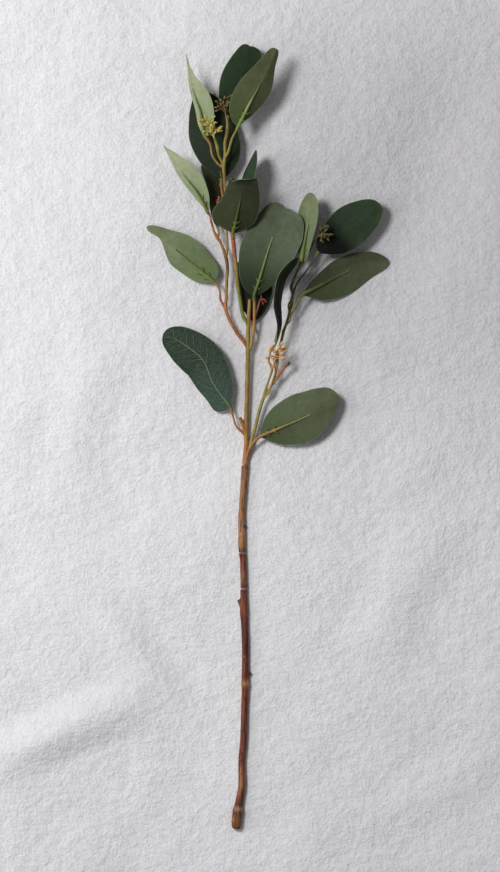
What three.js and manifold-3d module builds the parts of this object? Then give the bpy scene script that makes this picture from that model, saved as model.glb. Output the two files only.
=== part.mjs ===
// A faux eucalyptus spray lying on a table: a moulded stem in sections over a steel wire, four
// moulded sprigs with their leaf stalks and spines, cloth leaves glued to the spines, and seed buds.
// Millimetres, +Z up. The stem runs along +Y, with its cut end at the -Y end of the spray.
import * as THREE from "three";
import { mergeVertices } from "three/addons/utils/BufferGeometryUtils.js";
import Module from "manifold-3d";

const wasm = await Module();
wasm.setup();

// Driving dimensions
const BLADE_THICKNESS = 0.6;
const SEAT_GAP = 0.3;
const WIRE_RADIUS = 0.8;
const BORE_RADIUS = 1.15;
const BORE_OVERRUN = 0.9;
const STEM_SIDES = 10;
const LEADER_SIDES = 8;
const STRAND_SIDES = 6;
const SPUR_SIDES = 4;
const BUD_SIDES = 5;
const BUD_STALK_SIDES = 3;
const STEM_AXIS_HEIGHT = 2.45;
const SPINE_SHARE = 0.57;
const SPINE_SLACK = 0.1;
const SPINE_ROOT_RADIUS = 1.2;
const SPINE_TIP_RADIUS = 0.6;
const SPUR_LENGTH = 4.5;
const SPUR_ROOT_RADIUS = 0.6;
const SPUR_TIP_RADIUS = 0.35;
const BUD_STALK_RADIUS = 0.45;
const BUD_CORE_RADIUS = 0.7;

// Every position below is [x, y, height] or [x, y, height, radius], with x and y measured from the
// joint where the thick stem meets the leader. This shift brings the middle of the spray to x = y = 0.
const UP = new THREE.Vector3(0, 0, 1);
const JOINT_TO_MIDDLE = new THREE.Vector3(-18, -22.7, 0);

// Closed solids and how they are joined

function toSolid(geometry) {
  const bare = geometry.clone();
  bare.deleteAttribute("normal");
  bare.deleteAttribute("uv");
  const merged = mergeVertices(bare, 1e-4);
  return new wasm.Manifold(
    new wasm.Mesh({
      numProp: 3,
      vertProperties: new Float32Array(merged.attributes.position.array),
      triVerts: new Uint32Array(merged.index.array),
    }),
  );
}

function toGeometry(solid) {
  const mesh = solid.getMesh();
  const geometry = new THREE.BufferGeometry();
  geometry.setAttribute("position", new THREE.BufferAttribute(mesh.vertProperties, 3));
  geometry.setIndex(new THREE.BufferAttribute(mesh.triVerts, 1));
  geometry.computeVertexNormals();
  return geometry;
}

function fuse(geometries) {
  return geometries.map(toSolid).reduce((whole, piece) => whole.add(piece));
}

// A closed cylinder bent along the smooth curve through `points`, with the radius given at each one.
// `floor` keeps the underside flat where the limb lies on the table.
function limb(points, { sides = STRAND_SIDES, steps = 1, swell = 0, floor = -Infinity } = {}) {
  const rings = (points.length - 1) * steps;
  const curve = new THREE.CatmullRomCurve3(points.map(([x, y, z]) => new THREE.Vector3(x, y, z)));
  const geometry = new THREE.CylinderGeometry(1, 1, 1, sides, rings);
  geometry.rotateY(Math.PI / sides);
  const position = geometry.attributes.position;
  const vertex = new THREE.Vector3();
  for (let i = 0; i < position.count; i++) {
    vertex.fromBufferAttribute(position, i);
    const along = THREE.MathUtils.clamp(vertex.y + 0.5, 0, 1) * (points.length - 1);
    const from = Math.min(Math.floor(along + 1e-6), points.length - 2);
    const share = along - from;
    const radius = THREE.MathUtils.lerp(points[from][3], points[from + 1][3], share) + swell;
    const centre = curve.getPoint(along / (points.length - 1));
    const forward = curve.getTangent(along / (points.length - 1));
    const aside = new THREE.Vector3().crossVectors(forward, UP).normalize();
    const upward = new THREE.Vector3().crossVectors(aside, forward);
    centre.addScaledVector(aside, vertex.x * radius).addScaledVector(upward, vertex.z * radius);
    position.setXYZ(i, centre.x, centre.y, Math.max(centre.z, floor));
  }
  return geometry;
}

// Leaves. Each blade hangs on its midrib, a curve from base to tip. `left` and `right` are the half
// widths seen from above at LEAF_STATIONS, and `tilt` gives the slope of the left and right halves
// at the base and at the tip, in degrees above level. `spineUp` is true where the pale underside,
// with the spine glued along it, faces up. `notch` is how far the two lobes pass the tip, and
// `spine` how much of the leaf's length the spine takes where that isn't SPINE_SHARE.
const LEAF_STATIONS = [0, 25, 55, 90, 125, 155, 180];
const LEAF_ROWS = 12;
const LEAF_COLUMNS = 6;
const LOBES_FROM = 135;
const LOBE_ROUNDING = 1.6;
const RIPPLE_TURN = 11;
const RIPPLE_START = { left: 1, right: 2.6 };

const leaves = {
  leaf_crown_dark: {
    rib: [[-13, 279, 15], [-8, 295, 13], [-2.5, 314.5, 11.5], [4, 334.5, 9.5]],
    left: [5.5, 12, 15, 11.5, 6.5],
    right: [3, 10, 15, 14, 9],
    tilt: { left: [-5, -10], right: [-5, 5] },
    notch: { left: 2, right: 1.5 },
    spineUp: false,
  },
  leaf_crown_right: {
    rib: [[-6, 270, 24], [2, 286, 27], [14.5, 308.5, 30], [24.5, 332, 31]],
    left: [7, 14, 15, 9, 4.5],
    right: [2, 7, 10, 5.5, 3.5],
    tilt: { left: [8, 15], right: [-40, -42] },
    notch: { left: 0.8, right: 0.8 },
    spineUp: true,
    spurs: [1],
  },
  leaf_crown_left: {
    rib: [[-32, 264, 22], [-35, 282.5, 21], [-42, 301, 22], [-47, 328.5, 25]],
    left: [2.5, 4.5, 3.2, 0.9, 0.4],
    right: [5.5, 9.5, 10.5, 3, 0.8],
    tilt: { left: [-60, -70], right: [5, 45] },
    spineUp: true,
  },
  leaf_upper_dark: {
    rib: [[-19, 229, 14], [-22.5, 248, 13], [-27, 268, 12], [-33.5, 287, 11], [-38.5, 297, 10.5]],
    left: [4.5, 14, 19, 13.5, 6],
    right: [8, 18, 20.5, 16, 8],
    tilt: { left: [-8, -12], right: [-8, -8] },
    spineUp: false,
  },
  leaf_upper_left: {
    rib: [[-29.5, 203, 16], [-37, 217.5, 20], [-50.5, 234, 23.5], [-65.5, 255.5, 25]],
    left: [2, 5, 4, 2, 0.7],
    right: [2.5, 7, 11, 6, 1.5],
    tilt: { left: [-60, -70], right: [15, 48] },
    spineUp: true,
    spurs: [-1],
  },
  leaf_upper_shaded: {
    rib: [[-22, 191, 9.5], [-23, 208, 8], [-27, 225, 7], [-34.5, 240, 6.5]],
    left: [2.5, 5, 5, 3.5, 2],
    right: [2, 5, 8, 7, 4],
    tilt: { left: [-15, -15], right: [-15, -15] },
    spineUp: false,
  },
  leaf_middle: {
    rib: [[-9.5, 185.5, 16.5], [-7, 196, 23], [-4, 209.5, 29.5], [-2, 221.5, 35.5], [-1, 226, 41],
      [-1, 227.5, 48]],
    left: [13, 20, 15, 11.5, 8.5],
    right: [6, 14.5, 16, 13, 9.5],
    tilt: { left: [-12, 0], right: [-12, 0] },
    spineUp: true,
    spurs: [1, -1],
  },
  leaf_middle_edge: {
    rib: [[-4, 208, 15], [1, 226.5, 17], [5.5, 240, 18.5], [9, 251.5, 19]],
    left: [1.4, 3.2, 3.5, 2.5, 1.2],
    right: [1.6, 4, 5, 3.5, 1.4],
    tilt: { left: [-72, -76], right: [68, 72] },
    spineUp: false,
  },
  leaf_left_wavy: {
    rib: [[-24.5, 146.5, 9.5], [-37, 156.5, 10.5], [-56.5, 173.5, 9.5], [-78.5, 190.5, 5]],
    left: [3, 11.5, 12, 3.6, 2.5],
    right: [9.5, 14.5, 16, 9, 4],
    tilt: { left: [-35, -30], right: [-6, -4] },
    wave: 1.2,
    spineUp: true,
  },
  leaf_centre_broad: {
    rib: [[7.5, 135, 14], [13, 152.5, 16.5], [18.5, 171, 18], [24.5, 188, 18.5], [33, 204.5, 18]],
    left: [10, 18, 22.5, 18.5, 12.5],
    right: [4.5, 13, 21, 22.5, 15],
    tilt: { left: [-10, -12], right: [-4, 3] },
    notch: { left: 4, right: 2.8 },
    spineUp: true,
    spurs: [1],
    spine: 0.66,
  },
  leaf_centre_dark: {
    rib: [[6.5, 114.5, 4.2], [7, 132, 3.6], [6.5, 149.5, 3.6], [4, 169, 4]],
    left: [3, 9.5, 14, 13, 8],
    right: [4, 11, 15, 12.5, 7],
    tilt: { left: [-3, -3], right: [-3, -3] },
    spineUp: false,
  },
  leaf_centre_edge: {
    rib: [[26, 99.5, 14], [28, 112, 17.5], [26, 130.5, 22], [29.5, 149, 26], [41, 165.5, 31]],
    left: [1.2, 2.2, 3.2, 3.6, 2.2],
    right: [0.8, 1.6, 3.2, 4, 2.4],
    tilt: { left: [76, 80], right: [-76, -78] },
    spineUp: false,
  },
  leaf_right_pale: {
    rib: [[45.5, 161, 16.5], [47.5, 174, 17.5], [51, 194, 18], [52.5, 217.5, 18.5]],
    left: [2, 6, 9.5, 8, 4],
    right: [3, 4.5, 6, 6.5, 4],
    tilt: { left: [-50, -48], right: [25, 38] },
    spineUp: true,
    spurs: [-1],
  },
  leaf_right_dark: {
    rib: [[59, 170, 15], [72, 181.5, 16], [89.5, 195, 15.5], [109, 207, 13]],
    left: [6.5, 12, 16.5, 13, 7.5],
    right: [4.5, 13.5, 17, 13, 6],
    tilt: { left: [4, 0], right: [-6, -10] },
    spineUp: false,
  },
  leaf_right_low: {
    rib: [[46, 136.5, 12], [66.5, 147, 10.5], [82, 155, 8.5], [98.5, 161, 6], [114.5, 162.5, 4]],
    left: [2.5, 8, 12.5, 10, 5],
    right: [4, 13, 17, 12, 5.5],
    tilt: { left: [-4, 0], right: [-24, -20] },
    spineUp: true,
  },
  leaf_lower_left: {
    rib: [[-12, 46, 8.5], [-26, 66, 9.5], [-33.5, 83.5, 9], [-49.5, 97, 7.5], [-65, 105.5, 5]],
    left: [11, 12.5, 16.5, 14, 8],
    right: [4, 14.5, 16.5, 13.5, 7.5],
    tilt: { left: [-24, -24], right: [6, 2] },
    wave: 0.8,
    spineUp: false,
  },
  leaf_lower_right: {
    rib: [[12.5, 23, 7], [30, 30.5, 9], [52.5, 40.5, 11], [64, 49, 11.5], [73, 57.5, 11]],
    left: [6.5, 16, 20.5, 16.5, 9],
    right: [4.5, 14, 19, 12.5, 6],
    tilt: { left: [-6, -4], right: [-10, -6] },
    notch: { left: 1.2, right: 2 },
    spineUp: true,
    spurs: [1, -1],
    spine: 0.62,
  },
};

// Leaves that carry the spray are turned down about their base until they touch the table.
const RESTING_LEAVES = ["leaf_left_wavy", "leaf_right_low", "leaf_lower_left"];
const SETTLING_PASSES = 8;

function settle(leaf) {
  for (let pass = 0; pass < SETTLING_PASSES; pass++) {
    const geometry = blade(leaf);
    geometry.computeBoundingBox();
    const gap = geometry.boundingBox.min.z;
    leaf.rib = leaf.rib.map(([x, y, z], i) => [x, y, i === 0 ? z : z - gap]);
  }
}

function ribCurve(leaf) {
  return new THREE.CatmullRomCurve3(
    leaf.rib.map((point) => new THREE.Vector3(...point)), false, "centripetal");
}

// The leaf's own directions at the share `t` of its length, with the two half blades' normals. At
// the crease between them a distance off the blade is longer by the mitre.
const MITRE_LIMIT = 2;

function leafFrame(leaf, curve, t) {
  const slope = (side) => THREE.MathUtils.degToRad(THREE.MathUtils.lerp(...leaf.tilt[side], t));
  const forward = curve.getTangentAt(t);
  const leftward = new THREE.Vector3(-forward.y, forward.x, 0).normalize();
  const upward = new THREE.Vector3().crossVectors(forward, leftward).normalize();
  const half = (sign, angle) => ({
    out: leftward.clone().multiplyScalar(sign).addScaledVector(upward, Math.tan(angle)),
    normal: upward.clone().multiplyScalar(Math.cos(angle))
      .addScaledVector(leftward, -sign * Math.sin(angle)),
  });
  const left = half(1, slope("left"));
  const right = half(-1, slope("right"));
  const crease = left.normal.clone().add(right.normal).normalize();
  const mitre = Math.min(MITRE_LIMIT, 1 / crease.dot(left.normal));
  return { centre: curve.getPointAt(t), forward, leftward, left, right, crease, mitre };
}

// Half width at the angle `phi`, on a smooth curve through the widths at LEAF_STATIONS.
function halfWidth(widths, phi) {
  const knots = LEAF_STATIONS.map((station, i) => [station, [0, ...widths, 0][i]]);
  const at = Math.max(0, Math.min(knots.length - 2, knots.findIndex(([s]) => s >= phi) - 1));
  const [x0, y0] = knots[at];
  const [x1, y1] = knots[at + 1];
  const rise = (i) => {
    const [a, b] = [knots[Math.max(i - 1, 0)], knots[Math.min(i + 1, knots.length - 1)]];
    return (b[1] - a[1]) / (b[0] - a[0]);
  };
  const u = (phi - x0) / (x1 - x0);
  const hermite = (2 * u ** 3 - 3 * u ** 2 + 1) * y0 + (3 * u ** 2 - 2 * u ** 3) * y1
    + (x1 - x0) * ((u ** 3 - 2 * u ** 2 + u) * rise(at) + (u ** 3 - u ** 2) * rise(at + 1));
  return Math.max(hermite, 0);
}

// A flat grid laid along the midrib, then given its thickness by a second sheet whose triangles
// match the first, so that the two faces never cross. The rows at base and tip close to a point.
function blade(leaf) {
  const curve = ribCurve(leaf);
  const grid = new THREE.PlaneGeometry(2, 1, LEAF_COLUMNS, LEAF_ROWS);
  const count = grid.attributes.position.count;
  const points = new Float32Array(count * 6);
  for (let i = 0; i < count; i++) {
    const across = grid.attributes.position.getX(i);
    const phi = (0.5 - grid.attributes.position.getY(i)) * 180;
    const t = (1 - Math.cos(THREE.MathUtils.degToRad(phi))) / 2;
    const frame = leafFrame(leaf, curve, t);
    const side = across >= 0 ? "left" : "right";
    const reach = Math.abs(across) * halfWidth(leaf[side], phi);
    const lobe = Math.sin(Math.PI * Math.max(0, phi - LOBES_FROM) / (180 - LOBES_FROM));
    const notch = (leaf.notch?.[side] ?? 0) * lobe * Math.min(1, Math.abs(across) * LOBE_ROUNDING);
    const ripple = (leaf.wave ?? 0) * across ** 2 * Math.sin(THREE.MathUtils.degToRad(phi))
      * Math.sin(t * RIPPLE_TURN + RIPPLE_START[side]);
    const creased = across === 0;
    const normal = creased ? frame.crease : frame[side].normal;
    const mitre = creased ? frame.mitre : 1;
    const middle = frame.centre.clone().addScaledVector(frame[side].out, reach)
      .addScaledVector(frame.forward, notch).addScaledVector(normal, ripple);
    const lift = normal.clone().multiplyScalar((BLADE_THICKNESS / 2) * mitre);
    middle.clone().add(lift).toArray(points, i * 3);
    middle.clone().sub(lift).toArray(points, (count + i) * 3);
  }
  const top = Array.from(grid.index.array);
  const faces = [...top];
  for (let i = 0; i < top.length; i += 3) {
    faces.push(top[i] + count, top[i + 2] + count, top[i + 1] + count);
  }
  const wide = LEAF_COLUMNS + 1;
  const rim = [];
  for (let row = 0; row < LEAF_ROWS; row++) rim.push([row * wide, (row + 1) * wide]);
  for (let row = LEAF_ROWS; row > 0; row--) rim.push([row * wide + wide - 1, row * wide - 1]);
  for (const [a, b] of rim) faces.push(a, a + count, b, b, a + count, b + count);
  return closeEnds(points, faces, count, wide);
}

// Joins each face's base row and tip row into single points, and drops the triangles that vanish.
function closeEnds(points, faces, count, wide) {
  const joined = (i) => {
    const sheet = i >= count ? count : 0;
    const own = i - sheet;
    if (own < wide) return sheet;
    return own >= count - wide ? sheet + count - 1 : i;
  };
  const kept = [];
  for (let i = 0; i < faces.length; i += 3) {
    const [a, b, c] = [joined(faces[i]), joined(faces[i + 1]), joined(faces[i + 2])];
    if (a !== b && b !== c && c !== a) kept.push(a, b, c);
  }
  const geometry = new THREE.BufferGeometry();
  geometry.setAttribute("position", new THREE.BufferAttribute(points, 3));
  geometry.setIndex(kept);
  geometry.computeVertexNormals();
  return geometry;
}

// The point beside the midrib where the middle of the spine lies, clear of the cloth by the seat gap.
function spinePoint(leaf, curve, t, radius) {
  const { centre, crease, mitre } = leafFrame(leaf, curve, t);
  const side = leaf.spineUp ? 1 : -1;
  const rise = (leaf.tilt.left[0] + leaf.tilt.right[0]) * side;
  const clear = SEAT_GAP + SPINE_SLACK + radius;
  const onRidge = (BLADE_THICKNESS / 2) * mitre + clear;
  const inValley = (BLADE_THICKNESS / 2 + clear) * mitre;
  return centre.addScaledVector(crease, side * (rise > 0 ? inValley : onRidge));
}

// A leaf stalk that runs on along the underside of its leaf as the spine.
function stalk(leaf, points) {
  const curve = ribCurve(leaf);
  const spine = [0, 0.25, 0.5, 0.75, 1].map((along) => {
    const radius = THREE.MathUtils.lerp(SPINE_ROOT_RADIUS, SPINE_TIP_RADIUS, along);
    const t = along * (leaf.spine ?? SPINE_SHARE);
    return [...spinePoint(leaf, curve, t, radius).toArray(), radius];
  });
  return limb([...points, ...spine]);
}

// Short spurs that leave the spine near its base, to the left where the sign is 1.
const SPUR_AT = 0.08;
const SPUR_SPREAD = 0.55;

function spursOf(leaf) {
  const curve = ribCurve(leaf);
  return (leaf.spurs ?? []).map((sign) => {
    const root = spinePoint(leaf, curve, SPUR_AT, SPINE_ROOT_RADIUS);
    const { forward, leftward } = leafFrame(leaf, curve, SPUR_AT);
    const tip = root.clone().addScaledVector(forward, SPUR_LENGTH)
      .addScaledVector(leftward, sign * SPUR_LENGTH * SPUR_SPREAD);
    const ends = [[...root.toArray(), SPUR_ROOT_RADIUS], [...tip.toArray(), SPUR_TIP_RADIUS]];
    return limb(ends, { sides: SPUR_SIDES });
  });
}

for (const name of RESTING_LEAVES) settle(leaves[name]);

// Stem

// Puts points given as [x, y, radius] at the height of the stem's middle line.
function lying(points) {
  return points.map(([x, y, radius]) => [x, y, STEM_AXIS_HEIGHT, radius]);
}

const stemLower = lying([
  [-7.2, -290.9, 2.6], [-7, -289.2, 3.7], [-6.6, -284.8, 4.2], [-5.9, -278.4, 4.1],
  [-5.6, -275.5, 4.3], [-5.2, -272.8, 3.4], [-3.8, -264.8, 2.9], [-2.4, -255.2, 2.9],
  [-2.7, -236.8, 2.7], [-1.2, -218.4, 2.7], [-0.4, -193.6, 2.7], [0.1, -180, 2.8],
  [0.2, -175.2, 3.4], [0.2, -171.2, 2.9], [0.2, -163.2, 2.7], [0.2, -144.8, 2.7],
  [-0.4, -126.4, 2.8], [-0.9, -117.6, 3.3], [-1, -111.2, 3], [-1, -103.2, 2.7], [-1, -99.4, 2.8],
]);
const stemShort = lying([
  [-1, -98.6, 2.8], [-1.1, -92.8, 2.6], [-1.3, -84.8, 2.6], [-1.6, -76, 2.6], [-1.9, -70.5, 2.8],
]);
const stemMiddle = lying([
  [-2, -69.8, 2.9], [-2.5, -64.8, 3], [-2.6, -55.6, 2.9], [-2.8, -47.2, 2.8], [-2.5, -36, 2.6],
  [-1.3, -20, 2.6], [-0.7, -9.6, 2.6], [-0.2, -3.2, 2.7], [0, -0.5, 2.9],
]);
const stemStubs = {
  stem_lower: [
    lying([[0.2, -171.2, 1.6], [2.4, -167.6, 1.5], [3.9, -165.2, 1.2]]),
    lying([[-0.9, -116.8, 1.8], [-3.2, -112, 1.6], [-5.1, -108.6, 1.4]]),
  ],
  stem_short: [],
  stem_middle: [lying([[-2.4, -51.2, 1.6], [-0.6, -49.2, 1.5], [0.5, -48, 1]])],
};
const leader = [
  [0.1, 0.2, 2.45, 2.6], [0.5, 5.6, 2.5, 2.4], [1, 16, 3, 2], [1, 26.4, 3.3, 1.9],
  [1.4, 46.8, 4.2, 1.8], [1.9, 67.2, 5, 1.8], [2.4, 92, 6.2, 1.9], [2.4, 104, 6.9, 1.8],
  [2.9, 116, 7.5, 1.6], [3.9, 132.5, 8.5, 1.4],
];
const leaderStub = [[0.3, 26.8, 3.6, 1.6], [-2.1, 32.8, 4.6, 1.5], [-4.2, 38.2, 5.6, 1.4]];
const wire = lying([
  [-6.1, -280, 0], [-3.8, -264.8, 0], [-2.4, -255.2, 0], [-2.7, -236.8, 0], [-1.2, -218.4, 0],
  [-0.4, -193.6, 0], [0.2, -163.2, 0], [0.2, -144.8, 0], [-0.4, -126.4, 0], [-1, -111.2, 0],
  [-1.3, -84.8, 0], [-2.6, -60, 0], [-2.8, -47.2, 0], [-2.5, -36, 0], [-1.3, -20, 0], [0, 0, 0],
  [0.6, 8.8, 0],
]);

function sleeve(points, stubs, boreRoute) {
  const outer = limb(points, { sides: STEM_SIDES, floor: 0 });
  const bore = limb(boreRoute, { sides: LEADER_SIDES, swell: BORE_RADIUS });
  return fuse([outer, ...stubs.map((stub) => limb(stub, { floor: 0 }))]).subtract(toSolid(bore));
}

// Sprigs: strands first, then the stalk of each leaf that the sprig carries.

const sprigs = {
  left_sprig: {
    strands: [
      [[2.5, 92, 6.4, 1.2], [0.5, 96.5, 6.6, 1.4], [-6, 105, 6.8, 1.4], [-13, 117.5, 7.2, 1.4],
        [-15.5, 125, 7.6, 1.5], [-15, 133.5, 8.2, 1.2], [-14.5, 148, 9.2, 1.2], [-14, 157.5, 9.8, 1.3],
        [-15, 165, 10.2, 1.5], [-19, 176.5, 11, 1.1], [-22, 181.5, 11.6, 1.4], [-24.5, 186, 12, 1],
        [-27, 194.5, 13.2, 0.9]],
      [[-15, 165.5, 10.2, 1.1], [-14, 174.5, 11, 1], [-14.5, 185.5, 11.2, 0.9], [-16, 200, 11.4, 0.9],
        [-18, 216, 12, 0.9], [-19.5, 224, 12.3, 0.9]],
      [[-22, 181.5, 11.4, 1.1], [-21, 185.5, 11, 0.8], [-21.5, 189, 9.8, 0.8]],
      [[-17.5, 211.5, 11.8, 0.6], [-19, 211.5, 12.2, 0.5]],
    ],
    stalks: {
      leaf_left_wavy: [[-15.5, 125, 7.6, 1.2], [-19.5, 132, 8.6, 0.9], [-20.5, 140.5, 11.6, 0.9]],
      leaf_upper_left: [[-27, 194.5, 13.2, 0.9], [-28, 199, 15.4, 0.8]],
      leaf_upper_dark: [[-18, 216, 12, 0.9], [-19, 224, 12.3, 0.9]],
      leaf_upper_shaded: [[-21, 185.5, 11, 0.8], [-21.5, 188.5, 9.4, 0.8]],
    },
  },
  top_sprig: {
    strands: [
      [[2.5, 110.5, 7.4, 1.3], [1, 115, 7.8, 1.6], [-1, 117.5, 8, 1.6], [-2.5, 123.5, 8.4, 1.5],
        [-4.5, 136, 9.4, 1.5], [-6, 145.5, 10.2, 1.5], [-7, 157, 11, 1.6], [-8, 166, 12, 1.6],
        [-9, 175, 13, 1.6], [-10, 184, 13.6, 1.7], [-11, 192, 13.8, 1.4], [-13, 202.5, 14.4, 1.3],
        [-15.5, 217.5, 16.2, 1.2], [-16.5, 231, 18.2, 1.3], [-17, 237.5, 19, 1.5],
        [-16.5, 242.5, 19.8, 1.4], [-16, 248, 20.4, 1.1], [-16, 257, 21, 1.3],
        [-14.5, 265, 21.4, 1.5], [-14, 272.5, 21.8, 1.1], [-15, 278.5, 21.8, 0.7]],
      [[-17, 237.5, 19.2, 1.2], [-18.5, 242, 20.4, 1], [-21, 247, 22, 1], [-22, 253.5, 24.4, 1.5],
        [-23.5, 258.5, 26.6, 1.1], [-24.5, 261, 28.4, 0.8]],
    ],
    stalks: {
      leaf_middle: [[-10, 180.5, 13.6, 1.5], [-9.5, 183, 17, 1.1]],
      leaf_middle_edge: [[-13, 202.5, 14.4, 1.1], [-8, 204.5, 14.4, 0.8]],
      leaf_crown_left: [[-17, 237, 19, 1.2], [-21.5, 240.5, 20.4, 0.9], [-26, 247, 21.6, 0.9],
        [-28, 256.5, 23, 0.9]],
      leaf_crown_right: [[-16, 245, 20, 1.2], [-13.5, 249.5, 21.4, 1], [-10.5, 260, 23, 1],
        [-7.5, 266, 24.8, 0.9]],
      leaf_crown_dark: [[-14, 272.5, 21.6, 0.9], [-13.5, 275.5, 17.6, 0.8]],
    },
  },
  centre_twig: {
    strands: [
      [[2.5, 89.5, 6.4, 1.1], [4.5, 95, 7, 1.2], [6.5, 105, 8, 1.2], [7.5, 117.5, 9.4, 1.3],
        [7.5, 127, 11.8, 1.1]],
      [[7.5, 117.5, 9.4, 0.9], [10, 125, 10.4, 0.7], [12, 131.5, 11.4, 0.6]],
    ],
    stalks: {
      leaf_centre_broad: [[7.5, 117.5, 9.4, 1.3], [7.5, 129.5, 13.4, 1.1]],
      leaf_centre_dark: [[6.5, 105, 7.8, 1], [6.5, 110.5, 4.4, 0.8]],
    },
  },
  right_sprig: {
    strands: [
      [[1, 3, 3, 1], [3, 10, 3.8, 1.4], [5, 18.5, 4.4, 1.4], [7.5, 27.5, 5, 1.4],
        [10.5, 39.5, 6, 1.4], [12.5, 47, 6.6, 1.4], [15.5, 56, 7.4, 1.3], [17.5, 63.5, 8, 1],
        [20, 70.5, 8.6, 0.9], [21.5, 77, 9.2, 1.2], [19, 83, 10, 0.8], [19.5, 87, 10.6, 0.8],
        [21, 92, 11.8, 0.8], [23.5, 96, 13, 0.8]],
      [[15.5, 56, 7.2, 1.2], [20, 61.5, 7.6, 1], [23.5, 70.5, 8.4, 1], [26, 82.5, 9, 1.1],
        [26, 89, 9.3, 1], [28.5, 97, 9.7, 1.2], [31, 107, 10, 1.1], [34.5, 117.5, 10.7, 1.2],
        [36, 125, 11.2, 1.1], [38, 134.5, 12.4, 1.1], [37.5, 143, 13.4, 0.9], [39.5, 149.5, 14.2, 1],
        [42.5, 156, 15.2, 0.9]],
      [[22.5, 65, 7.9, 1], [26.5, 71, 9, 1.1], [31, 77.5, 10.4, 1.1], [35.5, 81.5, 11.6, 1.2]],
      [[41.5, 155, 15, 0.8], [47.5, 165.5, 10, 0.6], [53, 173.5, 9.8, 0.6], [55, 178.5, 15.5, 0.6],
        [58.5, 182.5, 20, 0.6]],
      [[21.5, 77, 9.2, 0.9], [23.5, 81, 10.4, 0.9], [24.5, 84.5, 11.6, 0.8]],
    ],
    stalks: {
      leaf_centre_edge: [[21, 92, 11.8, 0.8], [24.5, 96.5, 13, 0.8]],
      leaf_right_pale: [[39.5, 149.5, 14.2, 0.9], [43, 157, 16.6, 0.9]],
      leaf_right_dark: [[38, 134.5, 12.4, 0.8], [41, 144, 12.6, 0.7], [49, 155, 13, 0.6],
        [55, 164, 13.6, 0.6]],
      leaf_right_low: [[34.5, 117.5, 10.7, 1], [39, 123.5, 11.2, 0.9], [43.5, 132.5, 12.6, 0.8]],
    },
  },
};
const leaderStalks = {
  leaf_lower_left: [[1, 23, 3.4, 1.1], [-2.5, 26.5, 4, 1.1], [-7, 31, 5.4, 0.8],
    [-9.5, 38.5, 6.6, 0.8]],
  leaf_lower_right: [[0.5, 3, 3.2, 0.9], [3.5, 12.5, 5.8, 0.9], [7.5, 19, 7.4, 0.9]],
};

function sprigSolid({ strands, stalks }) {
  const pieces = strands.map((points) => limb(points));
  for (const [name, points] of Object.entries(stalks)) {
    pieces.push(stalk(leaves[name], points), ...spursOf(leaves[name]));
  }
  return fuse(pieces);
}

// Buds: each spray is a short core with small pointed buds on stalks around it, drawn from a seed.

const budSprays = {
  buds_crown_yellow: {
    on: ["top_sprig", 1], lean: [-1, 17, 4], count: 18, reach: 7, bud: 1.3, seed: 3,
  },
  buds_crown_brown: {
    on: ["top_sprig", 0], lean: [-4, 14, -0.5], count: 12, reach: 7.5, bud: 1.2, seed: 9,
  },
  buds_upper_pink: {
    on: ["left_sprig", 3], lean: [-3, -0.6, 0.8], count: 5, reach: 2.6, bud: 0.9, seed: 1,
  },
  buds_centre_red: {
    on: ["centre_twig", 1], lean: [3.5, 1, 0.8], count: 6, reach: 3.4, bud: 0.9, seed: 2,
  },
  buds_right_orange: {
    on: ["right_sprig", 4], lean: [0.4, 8.5, 3.4], count: 17, reach: 8, bud: 1.4, seed: 7,
  },
  buds_right_green: {
    on: ["right_sprig", 3], lean: [7, 3, 2], count: 9, reach: 5.5, bud: 1.2, seed: 6,
  },
};
const BUD_OUTLINE = [[0, -0.9], [0.95, 0.1], [0, 1.6]];
const BUD_TURN = 2.4;
const CORE_STRAIGHT = 0.8;
const CORE_SHARE = 0.75;

function randomFrom(seed) {
  let state = seed * 7919;
  return () => {
    state = (state * 16807 + 11) % 2147483647;
    return state / 2147483647;
  };
}

function budOn(tip, direction, size) {
  const outline = BUD_OUTLINE.map(([r, h]) => new THREE.Vector2(r * size, h * size));
  const bud = new THREE.LatheGeometry(outline, BUD_SIDES);
  const turned = new THREE.Quaternion().setFromUnitVectors(new THREE.Vector3(0, 1, 0), direction);
  return bud.applyQuaternion(turned).translate(...tip.toArray());
}

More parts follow.
